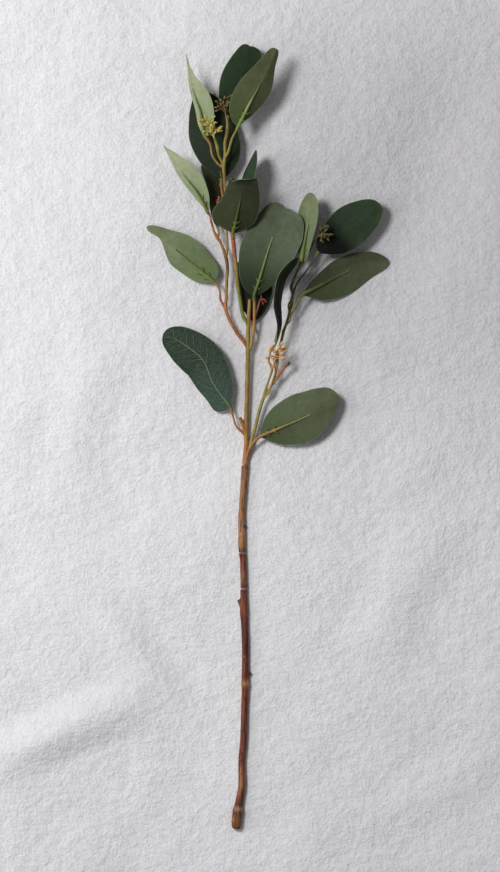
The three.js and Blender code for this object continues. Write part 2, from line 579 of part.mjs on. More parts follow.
// The core starts at the seat gap past its strand's end, face to face with it. The stalks leave it
// one after another round a spiral, most of them forwards, and stay above it.
function budSpray({ on: [sprig, strand], lean, count, reach, bud, seed }) {
  const random = randomFrom(seed);
  const [before, end] = sprigs[sprig].strands[strand].slice(-2);
  const tipOfStrand = new THREE.Vector3(...end);
  const outward = tipOfStrand.clone().sub(new THREE.Vector3(...before)).normalize();
  const base = tipOfStrand.clone().addScaledVector(outward, SEAT_GAP);
  const axis = new THREE.Vector3(...lean);
  const bend = base.clone().addScaledVector(outward, CORE_STRAIGHT);
  const coreTip = base.clone().addScaledVector(axis, CORE_SHARE);
  const radius = Math.min(end[3], BUD_CORE_RADIUS);
  const core = [base, bend, coreTip].map((point) => [...point.toArray(), radius]);
  const pieces = [limb(core, { sides: SPUR_SIDES, steps: 2 })];
  const along = axis.clone().normalize();
  const level = new THREE.Vector3().crossVectors(along, UP).normalize();
  const lift = new THREE.Vector3().crossVectors(level, along);
  for (let i = 0; i < count; i++) {
    const turn = i * BUD_TURN + random() * 0.6;
    const spread = 0.45 + 1.2 * random();
    const direction = along.clone().multiplyScalar(Math.cos(spread))
      .addScaledVector(level, Math.sin(spread) * Math.cos(turn))
      .addScaledVector(lift, Math.abs(Math.sin(spread) * Math.sin(turn)) * 0.8).normalize();
    const from = base.clone().addScaledVector(axis, 0.12 + 0.58 * random());
    const tip = from.clone().addScaledVector(direction, reach * (0.55 + 0.45 * random()));
    const stem = [from, tip].map((point) => [...point.toArray(), BUD_STALK_RADIUS]);
    pieces.push(limb(stem, { sides: BUD_STALK_SIDES }), budOn(tip, direction, bud));
  }
  return fuse(pieces);
}

// Finishes

const finishes = {
  barkBrown: { color: 0x6f4435, roughness: 0.6, metalness: 0 },
  stemOlive: { color: 0x8c744a, roughness: 0.55, metalness: 0 },
  sprigGreen: { color: 0x8f8f52, roughness: 0.5, metalness: 0 },
  sprigRed: { color: 0x8a5038, roughness: 0.55, metalness: 0 },
  leafUnder: { color: 0x66775c, roughness: 0.8, metalness: 0 },
  leafUpper: { color: 0x24402f, roughness: 0.65, metalness: 0 },
  budYellow: { color: 0xa89048, roughness: 0.55, metalness: 0 },
  budRed: { color: 0xc0605a, roughness: 0.5, metalness: 0 },
  wireSteel: { color: 0x9a9a98, roughness: 0.35, metalness: 1 },
};

const spray = new THREE.Group();
spray.position.copy(JOINT_TO_MIDDLE);

function addPiece(name, geometry, finish) {
  const mesh = new THREE.Mesh(geometry, new THREE.MeshStandardMaterial(finishes[finish]));
  mesh.name = name;
  spray.add(mesh);
}

// The bore runs a little past both ends of the wire, so that the wire lies clear in it.
const boreRoute = wire.map(([x, y, z, r], i) => {
  const past = i === 0 ? -BORE_OVERRUN : BORE_OVERRUN;
  return [x, i === 0 || i === wire.length - 1 ? y + past : y, z, r];
});

addPiece("wire_core", limb(wire, { sides: STRAND_SIDES, swell: WIRE_RADIUS }), "wireSteel");
const sleeves = { stem_lower: stemLower, stem_short: stemShort, stem_middle: stemMiddle };
for (const [name, points] of Object.entries(sleeves)) {
  addPiece(name, toGeometry(sleeve(points, stemStubs[name], boreRoute)), "barkBrown");
}

const leaderSolid = fuse([
  limb(leader, { sides: LEADER_SIDES, floor: 0 }),
  limb(leaderStub),
  ...Object.entries(leaderStalks).map(([name, points]) => stalk(leaves[name], points)),
  ...Object.keys(leaderStalks).flatMap((name) => spursOf(leaves[name])),
]).subtract(toSolid(limb(boreRoute, { sides: LEADER_SIDES, swell: BORE_RADIUS })));
addPiece("leader", toGeometry(leaderSolid), "stemOlive");

// Every sprig is cut to a saddle that sits round the leader, clear of it by the seat gap.
const saddle = fuse([
  limb(leader, { sides: LEADER_SIDES, swell: SEAT_GAP }),
  ...Object.entries(leaderStalks).map(([name, points]) =>
    limb(points.map(([x, y, z, r]) => [x, y, z, r + SEAT_GAP]))),
]);
for (const [name, sprig] of Object.entries(sprigs)) {
  const finish = name === "left_sprig" ? "sprigRed" : "sprigGreen";
  addPiece(name, toGeometry(sprigSolid(sprig).subtract(saddle)), finish);
}

for (const [name, leaf] of Object.entries(leaves)) {
  addPiece(name, blade(leaf), leaf.spineUp ? "leafUnder" : "leafUpper");
}

const budFinish = { buds_upper_pink: "budRed", buds_centre_red: "budRed" };
for (const [name, spec] of Object.entries(budSprays)) {
  addPiece(name, toGeometry(budSpray(spec)), budFinish[name] ?? "budYellow");
}

export default spray;
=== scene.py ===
"""A faux eucalyptus spray lying on pale felt: a moulded stem in sections over a steel wire,
moulded sprigs with the stalks and spines of their leaves, cloth leaves with printed veins, and
seed buds.

Laid out as an add-on whose panel holds the sizes and colours, and run as a script. The tables
give millimetres from the joint where the thick stem meets the leader. Meshes are in metres, in
the frame."""
import math

import bpy
import numpy as np
from mathutils.kdtree import KDTree
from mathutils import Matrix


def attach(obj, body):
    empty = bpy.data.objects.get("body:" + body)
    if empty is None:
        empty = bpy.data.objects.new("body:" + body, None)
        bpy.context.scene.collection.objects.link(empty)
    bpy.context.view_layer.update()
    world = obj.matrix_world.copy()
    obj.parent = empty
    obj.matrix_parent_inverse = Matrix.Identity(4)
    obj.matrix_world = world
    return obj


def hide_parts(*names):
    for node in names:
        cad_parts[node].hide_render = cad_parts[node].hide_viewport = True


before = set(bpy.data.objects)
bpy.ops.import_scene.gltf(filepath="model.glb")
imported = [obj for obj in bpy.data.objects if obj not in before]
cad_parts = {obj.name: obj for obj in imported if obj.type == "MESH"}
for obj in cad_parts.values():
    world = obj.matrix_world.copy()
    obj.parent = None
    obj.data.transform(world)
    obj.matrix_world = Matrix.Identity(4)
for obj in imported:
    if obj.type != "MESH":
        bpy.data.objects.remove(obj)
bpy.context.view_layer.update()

bl_info = {
    "name": "Eucalyptus Spray",
    "version": (1, 0, 0),
    "blender": (4, 5, 0),
    "location": "3D View > Sidebar > Spray",
    "description": "Makes a faux eucalyptus spray with cloth leaves, moulded stems and seed buds",
    "category": "Object",
}

MM = 0.001
JOINT = np.array([-18.0, -22.7, 0.0])  # its place in the frame, in millimetres
BODY = "root"

# Photograph: its frame, and the size of one of its pixels on the felt
PHOTO_PIXELS = (500, 872)
MM_PER_PIXEL = 0.8
PHOTO_CENTRE = (-14.0, 0.5)


def srgb(red, green, blue):
    """Linear colour of an 8-bit sRGB one."""
    def linear(value):
        share = value / 255
        return share / 12.92 if share <= 0.04045 else ((share + 0.055) / 1.055) ** 2.4
    return tuple(linear(value) for value in (red, green, blue))


# Colours of the moulded plastic, named as a maker would
PALETTE = {name: srgb(*tone) for name, tone in {
    "russet": (150, 88, 64), "amber": (166, 112, 68), "tan": (144, 112, 64),
    "maroon": (86, 48, 40), "olive": (140, 124, 64), "moss": (112, 116, 54),
    "straw": (160, 140, 84), "rose": (182, 124, 104), "umber": (74, 58, 34),
    "bark": (118, 66, 52), "rust_bark": (130, 72, 50), "dark_bark": (98, 48, 38),
    "tan_bark": (152, 114, 78), "olive_bark": (126, 96, 56), "cream": (158, 124, 98),
    "spine_green": (104, 116, 62), "bright_green": (112, 138, 66), "spine_dark": (70, 84, 44),
    "spine_tip": (146, 154, 112), "lime": (140, 132, 66),
}.items()}

# Colours of the cloth: undersides from pale to dark, then printed sides
CLOTH = {name: srgb(*tone) for name, tone in {
    "silver_sage": (146, 157, 126), "pale_sage": (116, 128, 96), "sage": (92, 103, 82),
    "olive_sage": (82, 90, 62), "grey_sage": (86, 95, 72), "deep_sage": (76, 84, 62),
    "dusk_olive": (60, 66, 46), "teal_green": (47, 64, 56), "fresh_green": (47, 64, 46),
    "bottle_green": (40, 60, 37), "night_green": (38, 50, 37), "shade_green": (28, 33, 22),
    "shade_olive": (58, 60, 40), "pine_green": (28, 46, 25),
}.items()}


# Leaves, each along its `rib`. `left` and `right` are the half widths seen from above at the
# LEAF_STATIONS between its ends, as degrees round the outline. `tilt` is the slope of the left
# and of the right half at the base and at the tip, `notch` how far each lobe passes the tip, and
# `wave` the ripple of the edge. `spurs` are the sides with spurs, and `spine` is the share of the
# rib with a spine. A leaf with the colour `under` lies with its pale side up, one with `upper`
# with its printed side. `print` is how strong the printed veins are, `halves` darkens one half
# more than the other as painted shade, and `shade` and `shade_run` say how dark the ends are,
# partly as darker print and partly as painted shade, and between which shares of the rib.
LEAF_STATIONS = [0, 25, 55, 90, 125, 155, 180]
LEAF_ROWS = 72
LEAF_COLUMNS = 40
RIPPLE_TURN = 11
RIPPLE_START = {"left": 1, "right": 2.6}
LOBES_FROM = 135
LOBE_ROUNDING = 1.6
UNDULATION = 0.45
UNDULATION_TURN = 7
EDGE_FROM = 0.9
EDGE_THINNING = 0.45
SHARP_EDGE = math.radians(50)
SETTLING_PASSES = 8
RESTING_LEAVES = ("leaf_left_wavy", "leaf_right_low", "leaf_lower_left")

LEAVES = {
    "leaf_crown_dark": {
        "rib": [[-13, 279, 15], [-8, 295, 13], [-2.5, 314.5, 11.5], [4, 334.5, 9.5]],
        "left": [5.5, 12, 15, 11.5, 6.5], "right": [3, 10, 15, 14, 9],
        "tilt": [[-5, -10], [-5, 5]], "notch": [2, 1.5], "upper": "pine_green", "print": 0.12,
        "halves": (1.15, 0.9), "shade": (0.8, 0.86),
    },
    "leaf_crown_right": {
        "rib": [[-6, 270, 24], [2, 286, 27], [14.5, 308.5, 30], [24.5, 332, 31]],
        "left": [7, 14, 15, 9, 4.5], "right": [2, 7, 10, 5.5, 3.5], "tilt": [[8, 15], [-40, -42]],
        "notch": [0.8, 0.8], "spurs": [1, -1],
        "spine_tones": "bright_green bright_green spine_tip spine_green spine_dark",
        "under": "olive_sage", "halves": (0.96, 1.02),
    },
    "leaf_crown_left": {
        "rib": [[-32, 264, 22], [-35, 282.5, 21], [-42, 301, 22], [-47, 328.5, 25]],
        "left": [2.5, 4.5, 3.2, 0.8, 0.2], "right": [5.5, 9.5, 10.5, 2.5, 0.5],
        "tilt": [[-60, -70], [5, 45]], "under": "silver_sage",
    },
    "leaf_upper_dark": {
        "rib": [[-19, 229, 14], [-22.5, 248, 13], [-27, 268, 12], [-33.5, 287, 11],
                [-38.5, 297, 10.5]],
        "left": [4.5, 14, 19, 13.5, 6], "right": [8, 18, 20.5, 16, 8],
        "tilt": [[-8, -12], [-8, -8]], "upper": "night_green", "print": 0.06,
        "halves": (0.75, 0.95), "shade": (0.9, 1.0),
    },
    "leaf_upper_left": {
        "rib": [[-29.5, 203, 16], [-37, 217.5, 20], [-50.5, 234, 23.5], [-65.5, 255.5, 25]],
        "left": [2, 5, 4, 1.8, 0.4], "right": [2.5, 7, 11, 5.6, 0.9],
        "tilt": [[-60, -70], [15, 48]], "spurs": [-1], "under": "silver_sage",
    },
    "leaf_upper_shaded": {
        "rib": [[-22, 191, 9.5], [-23, 208, 8], [-27, 225, 7], [-34.5, 240, 6.5]],
        "left": [2.5, 5, 5, 3.5, 2], "right": [2, 5, 8, 7, 4], "tilt": [[-15, -15], [-15, -15]],
        "upper": "shade_olive", "print": 0.05,
    },
    "leaf_middle": {
        "rib": [[-9.5, 185.5, 16.5], [-7, 196, 23], [-4, 209.5, 29.5], [-2, 221.5, 35.5],
                [-1, 226, 41], [-1, 227.5, 48]],
        "left": [13, 20, 15, 11.5, 8.5], "right": [6, 14.5, 16, 13, 9.5],
        "tilt": [[-12, 0], [-12, 0]], "spurs": [1, -1],
        "spine_tones": "spine_green spine_dark spine_dark", "under": "dusk_olive",
        "halves": (1.0, 0.72),
    },
    "leaf_middle_edge": {
        "rib": [[-4, 208, 15], [1, 226.5, 17], [5.5, 240, 18.5], [9, 251.5, 19]],
        "left": [1.4, 3.2, 3.5, 2.5, 1.2], "right": [1.6, 4, 5, 3.5, 1.4],
        "tilt": [[-72, -76], [68, 72]], "upper": "fresh_green", "print": 0.15,
    },
    "leaf_left_wavy": {
        "rib": [[-24.5, 146.5, 9.5], [-37, 156.5, 10.5], [-56.5, 173.5, 9.5], [-78.5, 190.5, 5]],
        "left": [3, 10.2, 11.6, 1.6, 2.2], "right": [9.5, 14.5, 16, 9, 4],
        "tilt": [[-35, -30], [-6, -4]], "wave": 1.2, "spurs": [1, -1],
        "spine_tones": "spine_green spine_green spine_dark", "under": "pale_sage",
        "halves": (0.92, 0.85),
    },
    "leaf_centre_broad": {
        "rib": [[7.5, 135, 14], [13, 152.5, 16.5], [18.5, 171, 18], [24.5, 188, 18.5],
                [33, 204.5, 18]],
        "left": [10, 18, 22.5, 18.5, 12.5], "right": [4.5, 13, 21, 22.5, 15],
        "tilt": [[-10, -12], [-4, 3]], "notch": [3, 2.4], "spurs": [1, -1], "spine": 0.66,
        "spine_tones": "spine_dark spine_green spine_green spine_tip", "under": "sage",
        "halves": (0.6, 0.88), "shade": (0.38, 1.05),
    },
    "leaf_centre_dark": {
        "rib": [[6.5, 114.5, 4.2], [7, 132, 3.6], [6.5, 149.5, 3.6], [4, 169, 4]],
        "left": [3, 9.5, 14, 13, 8], "right": [4, 11, 15, 12.5, 7], "tilt": [[-3, -3], [-3, -3]],
        "upper": "shade_green", "print": 0.06,
    },
    "leaf_centre_edge": {
        "rib": [[26, 99.5, 14], [28, 112, 17.5], [26, 130.5, 22], [29.5, 149, 26],
                [41, 165.5, 31]],
        "left": [1.2, 2.2, 3.2, 3.6, 2.2], "right": [0.8, 1.6, 3.2, 4, 2.4],
        "tilt": [[76, 80], [-76, -78]], "upper": "shade_green", "print": 0.08,
    },
    "leaf_right_pale": {
        "rib": [[45.5, 161, 16.5], [47.5, 174, 17.5], [51, 194, 18], [52.5, 217.5, 18.5]],
        "left": [2, 6, 9.5, 8, 4], "right": [3, 4.5, 6, 6.5, 4], "tilt": [[-50, -48], [25, 38]],
        "spurs": [-1], "under": "pale_sage", "shade": (0.85, 0.84),
    },
    "leaf_right_dark": {
        "rib": [[59, 170, 15], [72, 181.5, 16], [89.5, 195, 15.5], [109, 207, 13]],
        "left": [6.5, 12, 16.5, 13, 7.5], "right": [4.5, 13.5, 17, 13, 6],
        "tilt": [[4, 0], [-6, -10]], "upper": "night_green", "print": 0.03, "halves": (0.85, 0.95),
        # painted shadow: the base of this leaf is darkened where leaf_right_pale shades it
        "shade": (0.14, 1.6), "shade_run": (0.25, 0.52),
    },
    "leaf_right_low": {
        "rib": [[46, 136.5, 12], [66.5, 147, 10.5], [82, 155, 8.5], [98.5, 161, 6],
                [114.5, 162.5, 4]],
        "left": [2.5, 8, 12.5, 10, 5], "right": [4, 13, 17, 12, 5.5],
        "tilt": [[-4, 0], [-24, -20]],
        "spine_tones": "spine_green spine_dark spine_dark spine_green", "under": "deep_sage",
        "halves": (0.68, 1.17), "shade": (0.82, 1.05),
    },
    "leaf_lower_left": {
        "rib": [[-12, 46, 8.5], [-26, 66, 9.5], [-33.5, 83.5, 9], [-49.5, 97, 7.5],
                [-65, 105.5, 5]],
        "left": [10.6, 11.8, 16.8, 15.4, 9], "right": [4, 14.5, 16.5, 13.5, 7.5],
        "tilt": [[-24, -24], [6, 2]], "wave": 0.8, "upper": "teal_green", "print": 1.0,
        "shade": (1.16, 0.5),
    },
    "leaf_lower_right": {
        "rib": [[12.5, 23, 7], [30, 30.5, 9], [52.5, 40.5, 11], [64, 49, 11.5], [73, 57.5, 11]],
        "left": [6.5, 16, 20.5, 16.5, 9], "right": [4.5, 14, 19, 12.5, 6],
        "tilt": [[-6, -4], [-10, -6]], "notch": [0.6, 0.3], "spurs": [1, -1], "spine": 0.62,
        "spine_tones": "tan straw spine_green spine_tip", "under": "grey_sage",
        "halves": (1.05, 0.92),
    },
}

# Spine: how far it runs along its leaf, its radius at both ends, how many radii its middle is off
# the cloth, and the cosine at which a fold lifts it no further. Spurs: where they leave it, as
# shares of the rib, and their length and slant.
SPINE_SHARE = 0.57
SPINE_STATIONS = np.array([0, 0.25, 0.5, 0.75, 1])
SPINE_RADIUS = (1.5, 0.45)
SPINE_TONES = "spine_green spine_green spine_dark spine_tip"
SPINE_SEAT = 0.7
SHARPEST_FOLD = 0.5
SPUR_AT = (0.06, 0.15)
SPUR_LENGTH = 4.2
SPUR_SPREAD = 0.85
SPUR_RADII = (0.75, 0.25)
SPUR_TONES = "spine_green spine_dark"

# Stem: points [x, y, radius] on its middle line, which lies at STEM_AXIS_HEIGHT
STEM_AXIS_HEIGHT = 2.45
STEM_PIECES = {
    "stem_lower": [
        ([[-7.2, -290.9, 2.6], [-7, -289.2, 3.7], [-6.6, -284.8, 4.2], [-5.9, -278.4, 4.1],
          [-5.6, -275.5, 4.3], [-5.2, -272.8, 3.4], [-3.8, -264.8, 2.9], [-2.4, -255.2, 2.9],
          [-2.7, -236.8, 2.7], [-1.2, -218.4, 2.7], [-0.4, -193.6, 2.7], [0.1, -180, 2.8],
          [0.2, -175.2, 3.4], [0.2, -171.2, 2.9], [0.2, -163.2, 2.7], [0.2, -144.8, 2.7],
          [-0.4, -126.4, 2.8], [-0.9, -117.6, 3.3], [-1, -111.2, 3], [-1, -103.2, 2.7],
          [-1, -100.4, 2.75], [-1, -99.4, 2.8]],
         "dark_bark bark olive_bark bark cream dark_bark rust_bark tan_bark bark bark bark "
         "rust_bark tan_bark bark bark dark_bark dark_bark rust_bark bark bark dark_bark cream"),
        ([[0.2, -171.2, 1.6], [2.4, -167.6, 1.5], [3.9, -165.2, 1.2]], "dark_bark"),
        ([[-0.9, -116.8, 1.8], [-3.1, -111, 2.2], [-4.9, -107.6, 1.9]], "tan_bark umber"),
    ],
    "stem_short": [
        ([[-1, -98.6, 2.8], [-1, -97.6, 2.75], [-1.1, -92.8, 2.6], [-1.3, -84.8, 2.6],
          [-1.6, -76, 2.6], [-1.9, -71.5, 2.75], [-1.9, -70.5, 2.8]],
         "cream dark_bark olive_bark bark rust_bark dark_bark cream"),
    ],
    "stem_middle": [
        ([[-2, -69.8, 2.9], [-2.1, -68.8, 2.9], [-2.5, -64.8, 3], [-2.6, -55.6, 2.9],
          [-2.8, -47.2, 2.8], [-2.5, -36, 2.6], [-1.3, -20, 2.6], [-0.7, -9.6, 2.6],
          [-0.2, -3.2, 2.7], [-0.1, -1.5, 2.8], [0, -0.5, 2.9]],
         "cream dark_bark tan_bark tan_bark cream tan_bark tan_bark tan_bark tan_bark rust_bark "
         "cream"),
        ([[-2.4, -51.2, 1.6], [-0.6, -49.2, 1.5], [0.5, -48, 1]], "dark_bark"),
    ],
}

# Sprigs: strands as [x, y, height, radius] points with the colours along them, then the leaf
# stalks
SPRIGS = {
    "leader": {
        "slot": "stem_olive",
        "floor": True,
        "strands": [
            ([[0.1, 0.2, 2.45, 2.6], [0.5, 5.6, 2.5, 2.4], [1, 16, 3, 2], [1, 26.4, 3.3, 1.9],
              [1.4, 46.8, 4.2, 1.8], [1.9, 67.2, 5, 1.8], [2.4, 92, 6.2, 1.9],
              [2.4, 104, 6.9, 1.8], [2.9, 116, 7.5, 1.6], [3.9, 132.5, 8.5, 1.4]],
             "amber amber tan tan olive olive tan"),
            ([[0.3, 26.8, 3.6, 1.6], [-2.1, 32.8, 4.6, 1.5], [-4.2, 38.2, 5.6, 1.4]], "amber tan"),
        ],
        "stalks": {
            "leaf_lower_left": (
                [[1, 23, 3.4, 1.1], [-2.5, 26.5, 4, 1.1], [-7, 31, 5.4, 0.8],
                 [-9.5, 38.5, 6.6, 0.8]],
                "amber amber amber"),
            "leaf_lower_right": (
                [[0.5, 3, 3.2, 0.9], [3.5, 12.5, 5.8, 0.9], [7.5, 19, 7.4, 0.9]],
                "amber amber"),
        },
    },
    "left_sprig": {
        "slot": "sprig_red",
        "strands": [
            ([[2.5, 92, 6.4, 1.2], [0.5, 96.5, 6.6, 1.4], [-6, 105, 6.8, 1.4],
              [-13, 117.5, 7.2, 1.4], [-15.5, 125, 7.6, 1.5], [-15, 133.5, 8.2, 1.2],
              [-14.5, 148, 9.2, 1.2], [-14, 157.5, 9.8, 1.3], [-15, 165, 10.2, 1.5],
              [-19, 176.5, 11, 1.1], [-22, 181.5, 11.6, 1.4], [-24.5, 186, 12, 1],
              [-27, 194.5, 13.2, 0.9]],
             "russet russet amber amber tan maroon tan amber russet"),
            ([[-15, 165.5, 10.2, 1.1], [-14, 174.5, 11, 1], [-14.5, 185.5, 11.2, 0.9],
              [-16, 200, 11.4, 0.9], [-18, 216, 12, 0.9], [-19.5, 224, 12.3, 0.9]],
             "tan olive tan amber"),
            ([[-22, 181.5, 11.4, 1.1], [-21, 185.5, 11, 0.8], [-21.5, 189, 9.8, 0.8]], "tan"),
            ([[-17.5, 211.5, 11.8, 0.6], [-19, 211.5, 12.2, 0.5]], "russet"),
        ],
        "stalks": {
            "leaf_left_wavy": (
                [[-15.5, 125, 7.6, 1.2], [-19.5, 132, 8.6, 0.9], [-20.5, 140.5, 11.6, 0.9]],
                "amber russet rose"),
            "leaf_upper_left": ([[-27, 194.5, 13.2, 0.9], [-28, 199, 15.4, 0.8]], "amber rose"),
            "leaf_upper_dark": ([[-18, 216, 12, 0.9], [-19, 224, 12.3, 0.9]], "amber"),
            "leaf_upper_shaded": ([[-21, 185.5, 11, 0.8], [-21.5, 188.5, 9.4, 0.8]], "tan"),
        },
    },
    "top_sprig": {
        "slot": "sprig_green",
        "strands": [
            ([[2.5, 110.5, 7.4, 1.3], [1, 115, 7.8, 1.6], [-1, 117.5, 8, 1.6],
              [-2.5, 123.5, 8.4, 1.5], [-4.5, 136, 9.4, 1.5], [-6, 145.5, 10.2, 1.5],
              [-7, 157, 11, 1.6], [-8, 166, 12, 1.6], [-9, 175, 13, 1.6], [-10, 184, 13.6, 1.7],
              [-11, 192, 13.8, 1.4], [-13, 202.5, 14.4, 1.3], [-15.5, 217.5, 16.2, 1.2],
              [-16.5, 231, 18.2, 1.3], [-17, 237.5, 19, 1.5], [-16.5, 242.5, 19.8, 1.4],
              [-16, 248, 20.4, 1.1], [-16, 257, 21, 1.3], [-14.5, 265, 21.4, 1.5],
              [-14, 272.5, 21.8, 1.1], [-15, 278.5, 21.8, 0.7]],
             "olive moss moss olive russet russet tan olive lime olive tan"),
            ([[-17, 237.5, 19.2, 1.2], [-18.5, 242, 20.4, 1], [-21, 247, 22, 1],
              [-22, 253.5, 24.4, 1.5], [-23.5, 258.5, 26.6, 1.1], [-24.5, 261, 28.4, 0.8]],
             "olive lime lime"),
        ],
        "stalks": {
            "leaf_middle": ([[-10, 180.5, 13.6, 1.5], [-9.5, 183, 17, 1.1]], "amber tan"),
            "leaf_middle_edge": ([[-13, 202.5, 14.4, 1.1], [-8, 204.5, 14.4, 0.8]], "tan"),
            "leaf_crown_left": (
                [[-17, 237, 19, 1.2], [-21.5, 240.5, 20.4, 0.9], [-26, 247, 21.6, 0.9],
                 [-28, 256.5, 23, 0.9]],
                "tan lime amber"),
            "leaf_crown_right": (
                [[-16, 245, 20, 1.2], [-13.5, 249.5, 21.4, 1], [-10.5, 260, 23, 1],
                 [-7.5, 266, 24.8, 0.9]],
                "olive lime tan"),
            "leaf_crown_dark": ([[-14, 272.5, 21.6, 0.9], [-13.5, 275.5, 17.6, 0.8]], "tan"),
        },
    },
    "centre_twig": {
        "slot": "sprig_green",
        "strands": [
            ([[2.5, 89.5, 6.4, 1.1], [4.5, 95, 7, 1.2], [6.5, 105, 8, 1.2],
              [7.5, 117.5, 9.4, 1.3], [7.5, 127, 11.8, 1.1]],
             "tan straw amber amber"),
            ([[7.5, 117.5, 9.4, 0.9], [10, 125, 10.4, 0.7], [12, 131.5, 11.4, 0.6]],
             "amber russet"),
        ],
        "stalks": {
            "leaf_centre_broad": (
                [[7.5, 117.5, 9.4, 1.3], [7.5, 129.5, 13.4, 1.1]],
                "amber straw"),
            "leaf_centre_dark": ([[6.5, 105, 7.8, 1], [6.5, 110.5, 4.4, 0.8]], "tan"),
        },
    },
    "right_sprig": {
        "slot": "sprig_green",
        # The umber on these strands and on the stalk of leaf_right_dark is partly painted shade,
        # where the leaves above shade the sprig.
        "strands": [
            ([[1, 3, 3, 1], [3, 10, 3.8, 1.4], [5, 18.5, 4.4, 1.4], [7.5, 27.5, 5, 1.4],
              [10.5, 39.5, 6, 1.4], [12.5, 47, 6.6, 1.4], [15.5, 56, 7.4, 1.3],
              [17.5, 63.5, 8, 1], [20, 70.5, 8.6, 0.9], [21.5, 77, 9.2, 1.2], [19, 83, 10, 0.8],
              [19.5, 87, 10.6, 0.8], [21, 92, 11.8, 0.8], [23.5, 96, 13, 0.8]],
             "tan olive lime lime lime olive straw lime lime"),
            ([[15.5, 56, 7.2, 1.2], [20, 61.5, 7.6, 1], [23.5, 70.5, 8.4, 1], [26, 82.5, 9, 1.1],
              [26, 89, 9.3, 1], [28.5, 97, 9.7, 1.2], [31, 107, 10, 1.1],
              [34.5, 117.5, 10.7, 1.2], [36, 125, 11.2, 1.1], [38, 134.5, 12.4, 1.1],
              [37.5, 143, 13.4, 0.9], [39.5, 149.5, 14.2, 1], [42.5, 156, 15.2, 0.9]],
             "lime olive straw olive umber olive umber moss"),
            ([[22.5, 65, 7.9, 1], [26.5, 71, 9, 1.1], [31, 77.5, 10.4, 1.1],
              [35.5, 81.5, 11.6, 1.2]],
             "olive amber amber umber"),
            ([[41.5, 155, 15, 0.8], [47.5, 165.5, 10, 0.6], [53, 173.5, 9.8, 0.6],
              [55, 178.5, 15.5, 0.6], [58.5, 182.5, 20, 0.6]],
             "olive umber"),
            ([[21.5, 77, 9.2, 0.9], [23.5, 81, 10.4, 0.9], [24.5, 84.5, 11.6, 0.8]],
             "straw amber"),
            ([[14, 52, 7.4, 0.7], [19.5, 58.5, 9, 0.7], [21.5, 66, 9.6, 0.6], [24, 74, 10, 0.6],
              [23.5, 80, 10.8, 0.6]],
             "lime straw amber"),
            ([[29, 99, 10.2, 0.6], [30.5, 108, 12, 0.6], [36.5, 116.5, 12.2, 0.6],
              [34.5, 127, 12.6, 0.6], [38, 135.5, 13.6, 0.6], [36, 142, 14.4, 0.5],
              [38.5, 148.5, 15.2, 0.5]],
             "umber moss umber moss"),
            ([[36, 125, 11.2, 1.4], [37.5, 129.5, 12.2, 1.3], [37, 134, 13, 0.9]], "umber moss"),
        ],
        "stalks": {
            "leaf_centre_edge": ([[21, 92, 11.8, 0.8], [24.5, 96.5, 13, 0.8]], "lime moss"),
            "leaf_right_pale": ([[39.5, 149.5, 14.2, 0.9], [43, 157, 16.6, 0.9]], "moss"),
            "leaf_right_dark": (
                [[38, 134.5, 12.4, 0.8], [41, 144, 12.6, 0.7], [49, 155, 13, 0.6],
                 [55, 164, 13.6, 0.6]],
                "umber umber"),
            "leaf_right_low": (
                [[34.5, 117.5, 10.7, 1], [39, 123.5, 11.2, 0.9], [43.5, 132.5, 12.6, 0.8]],
                "olive lime"),
        },
    },
}

# Bud clusters: the strand each grows from, the lean of its core, and its buds drawn from a seed.
# Lengths are in millimetres, turns and spreads in radians, and a pair is a least value and a range.
DRAW_START = 7919
DRAW_FACTOR = 16807
DRAW_STEP = 11
DRAW_RANGE = 2147483647
BUD_SEAT = 0.3
BUD_TURN = 2.4
BUD_TURN_DRIFT = 0.6
BUD_SPREAD = (0.45, 1.2)
BUD_LIFT = 0.8
BUD_REACH = (0.55, 0.45)
BUD_SPAN = (-1.2, 1.9)
BUD_PROFILE = ((0.0, 0.08), (0.15, 0.42), (0.4, 0.78), (0.54, 0.82), (0.6, 0.64), (0.82, 0.36),
               (1.0, 0.08))
ROOTS_SHARE = 0.7
STALK_BEND = 0.35
STALK_TAPER = (1.0, 0.9, 1.1)
STALK_SIDES = 8
STALK_STEPS = 4
CORE_STRAIGHT = 0.8
CORE_SHARE = 0.75
CORE_RADIUS = 0.7
BUD_CLUSTERS = {
    "buds_crown_yellow": {
        "on": ("top_sprig", 1), "lean": [-9, 21, 4], "count": 30, "reach": 8, "bud": 1.25,
        "seed": 3, "paint": "yellow", "slot": "bud_yellow",
    },
    "buds_crown_brown": {
        "on": ("top_sprig", 0), "lean": [-4.5, 16.5, -0.5], "count": 20, "reach": 8.5, "bud": 1.15,
        "seed": 9, "paint": "brown", "slot": "bud_yellow",
    },
    "buds_upper_pink": {
        "on": ("left_sprig", 3), "lean": [-3, -0.6, 0.8], "count": 5, "reach": 2.6, "bud": 0.9,
        "seed": 1, "paint": "pink", "slot": "bud_red",
    },
    "buds_centre_red": {
        "on": ("centre_twig", 1), "lean": [3.5, 1, 0.8], "count": 6, "reach": 3.4, "bud": 0.9,
        "seed": 2, "paint": "red", "slot": "bud_red",
    },
    "buds_right_orange": {
        "on": ("right_sprig", 4), "lean": [0.4, 8.5, 3.4], "count": 24, "reach": 9, "bud": 1.35,
        "seed": 7, "paint": "orange", "slot": "bud_yellow",
    },
    "buds_right_green": {
        "on": ("right_sprig", 3), "lean": [7, 3, 2], "count": 16, "reach": 7.5, "bud": 1.3,
        "seed": 6, "paint": "green", "slot": "bud_yellow",
    },
}
BUD_PAINTS = {name: [srgb(*tone) for tone in tones] for name, tones in {
    "yellow": ((176, 162, 74), (206, 190, 118)),
    # brown is partly painted shade: these buds lie in shadow
    "brown": ((94, 78, 36), (144, 120, 64)),
    "pink": ((216, 120, 104), (150, 52, 46)),
    "red": ((132, 52, 36), (84, 30, 22)),
    "orange": ((204, 152, 90), (232, 214, 156)),
    "green": ((76, 76, 30), (112, 102, 46)),
}.items()}


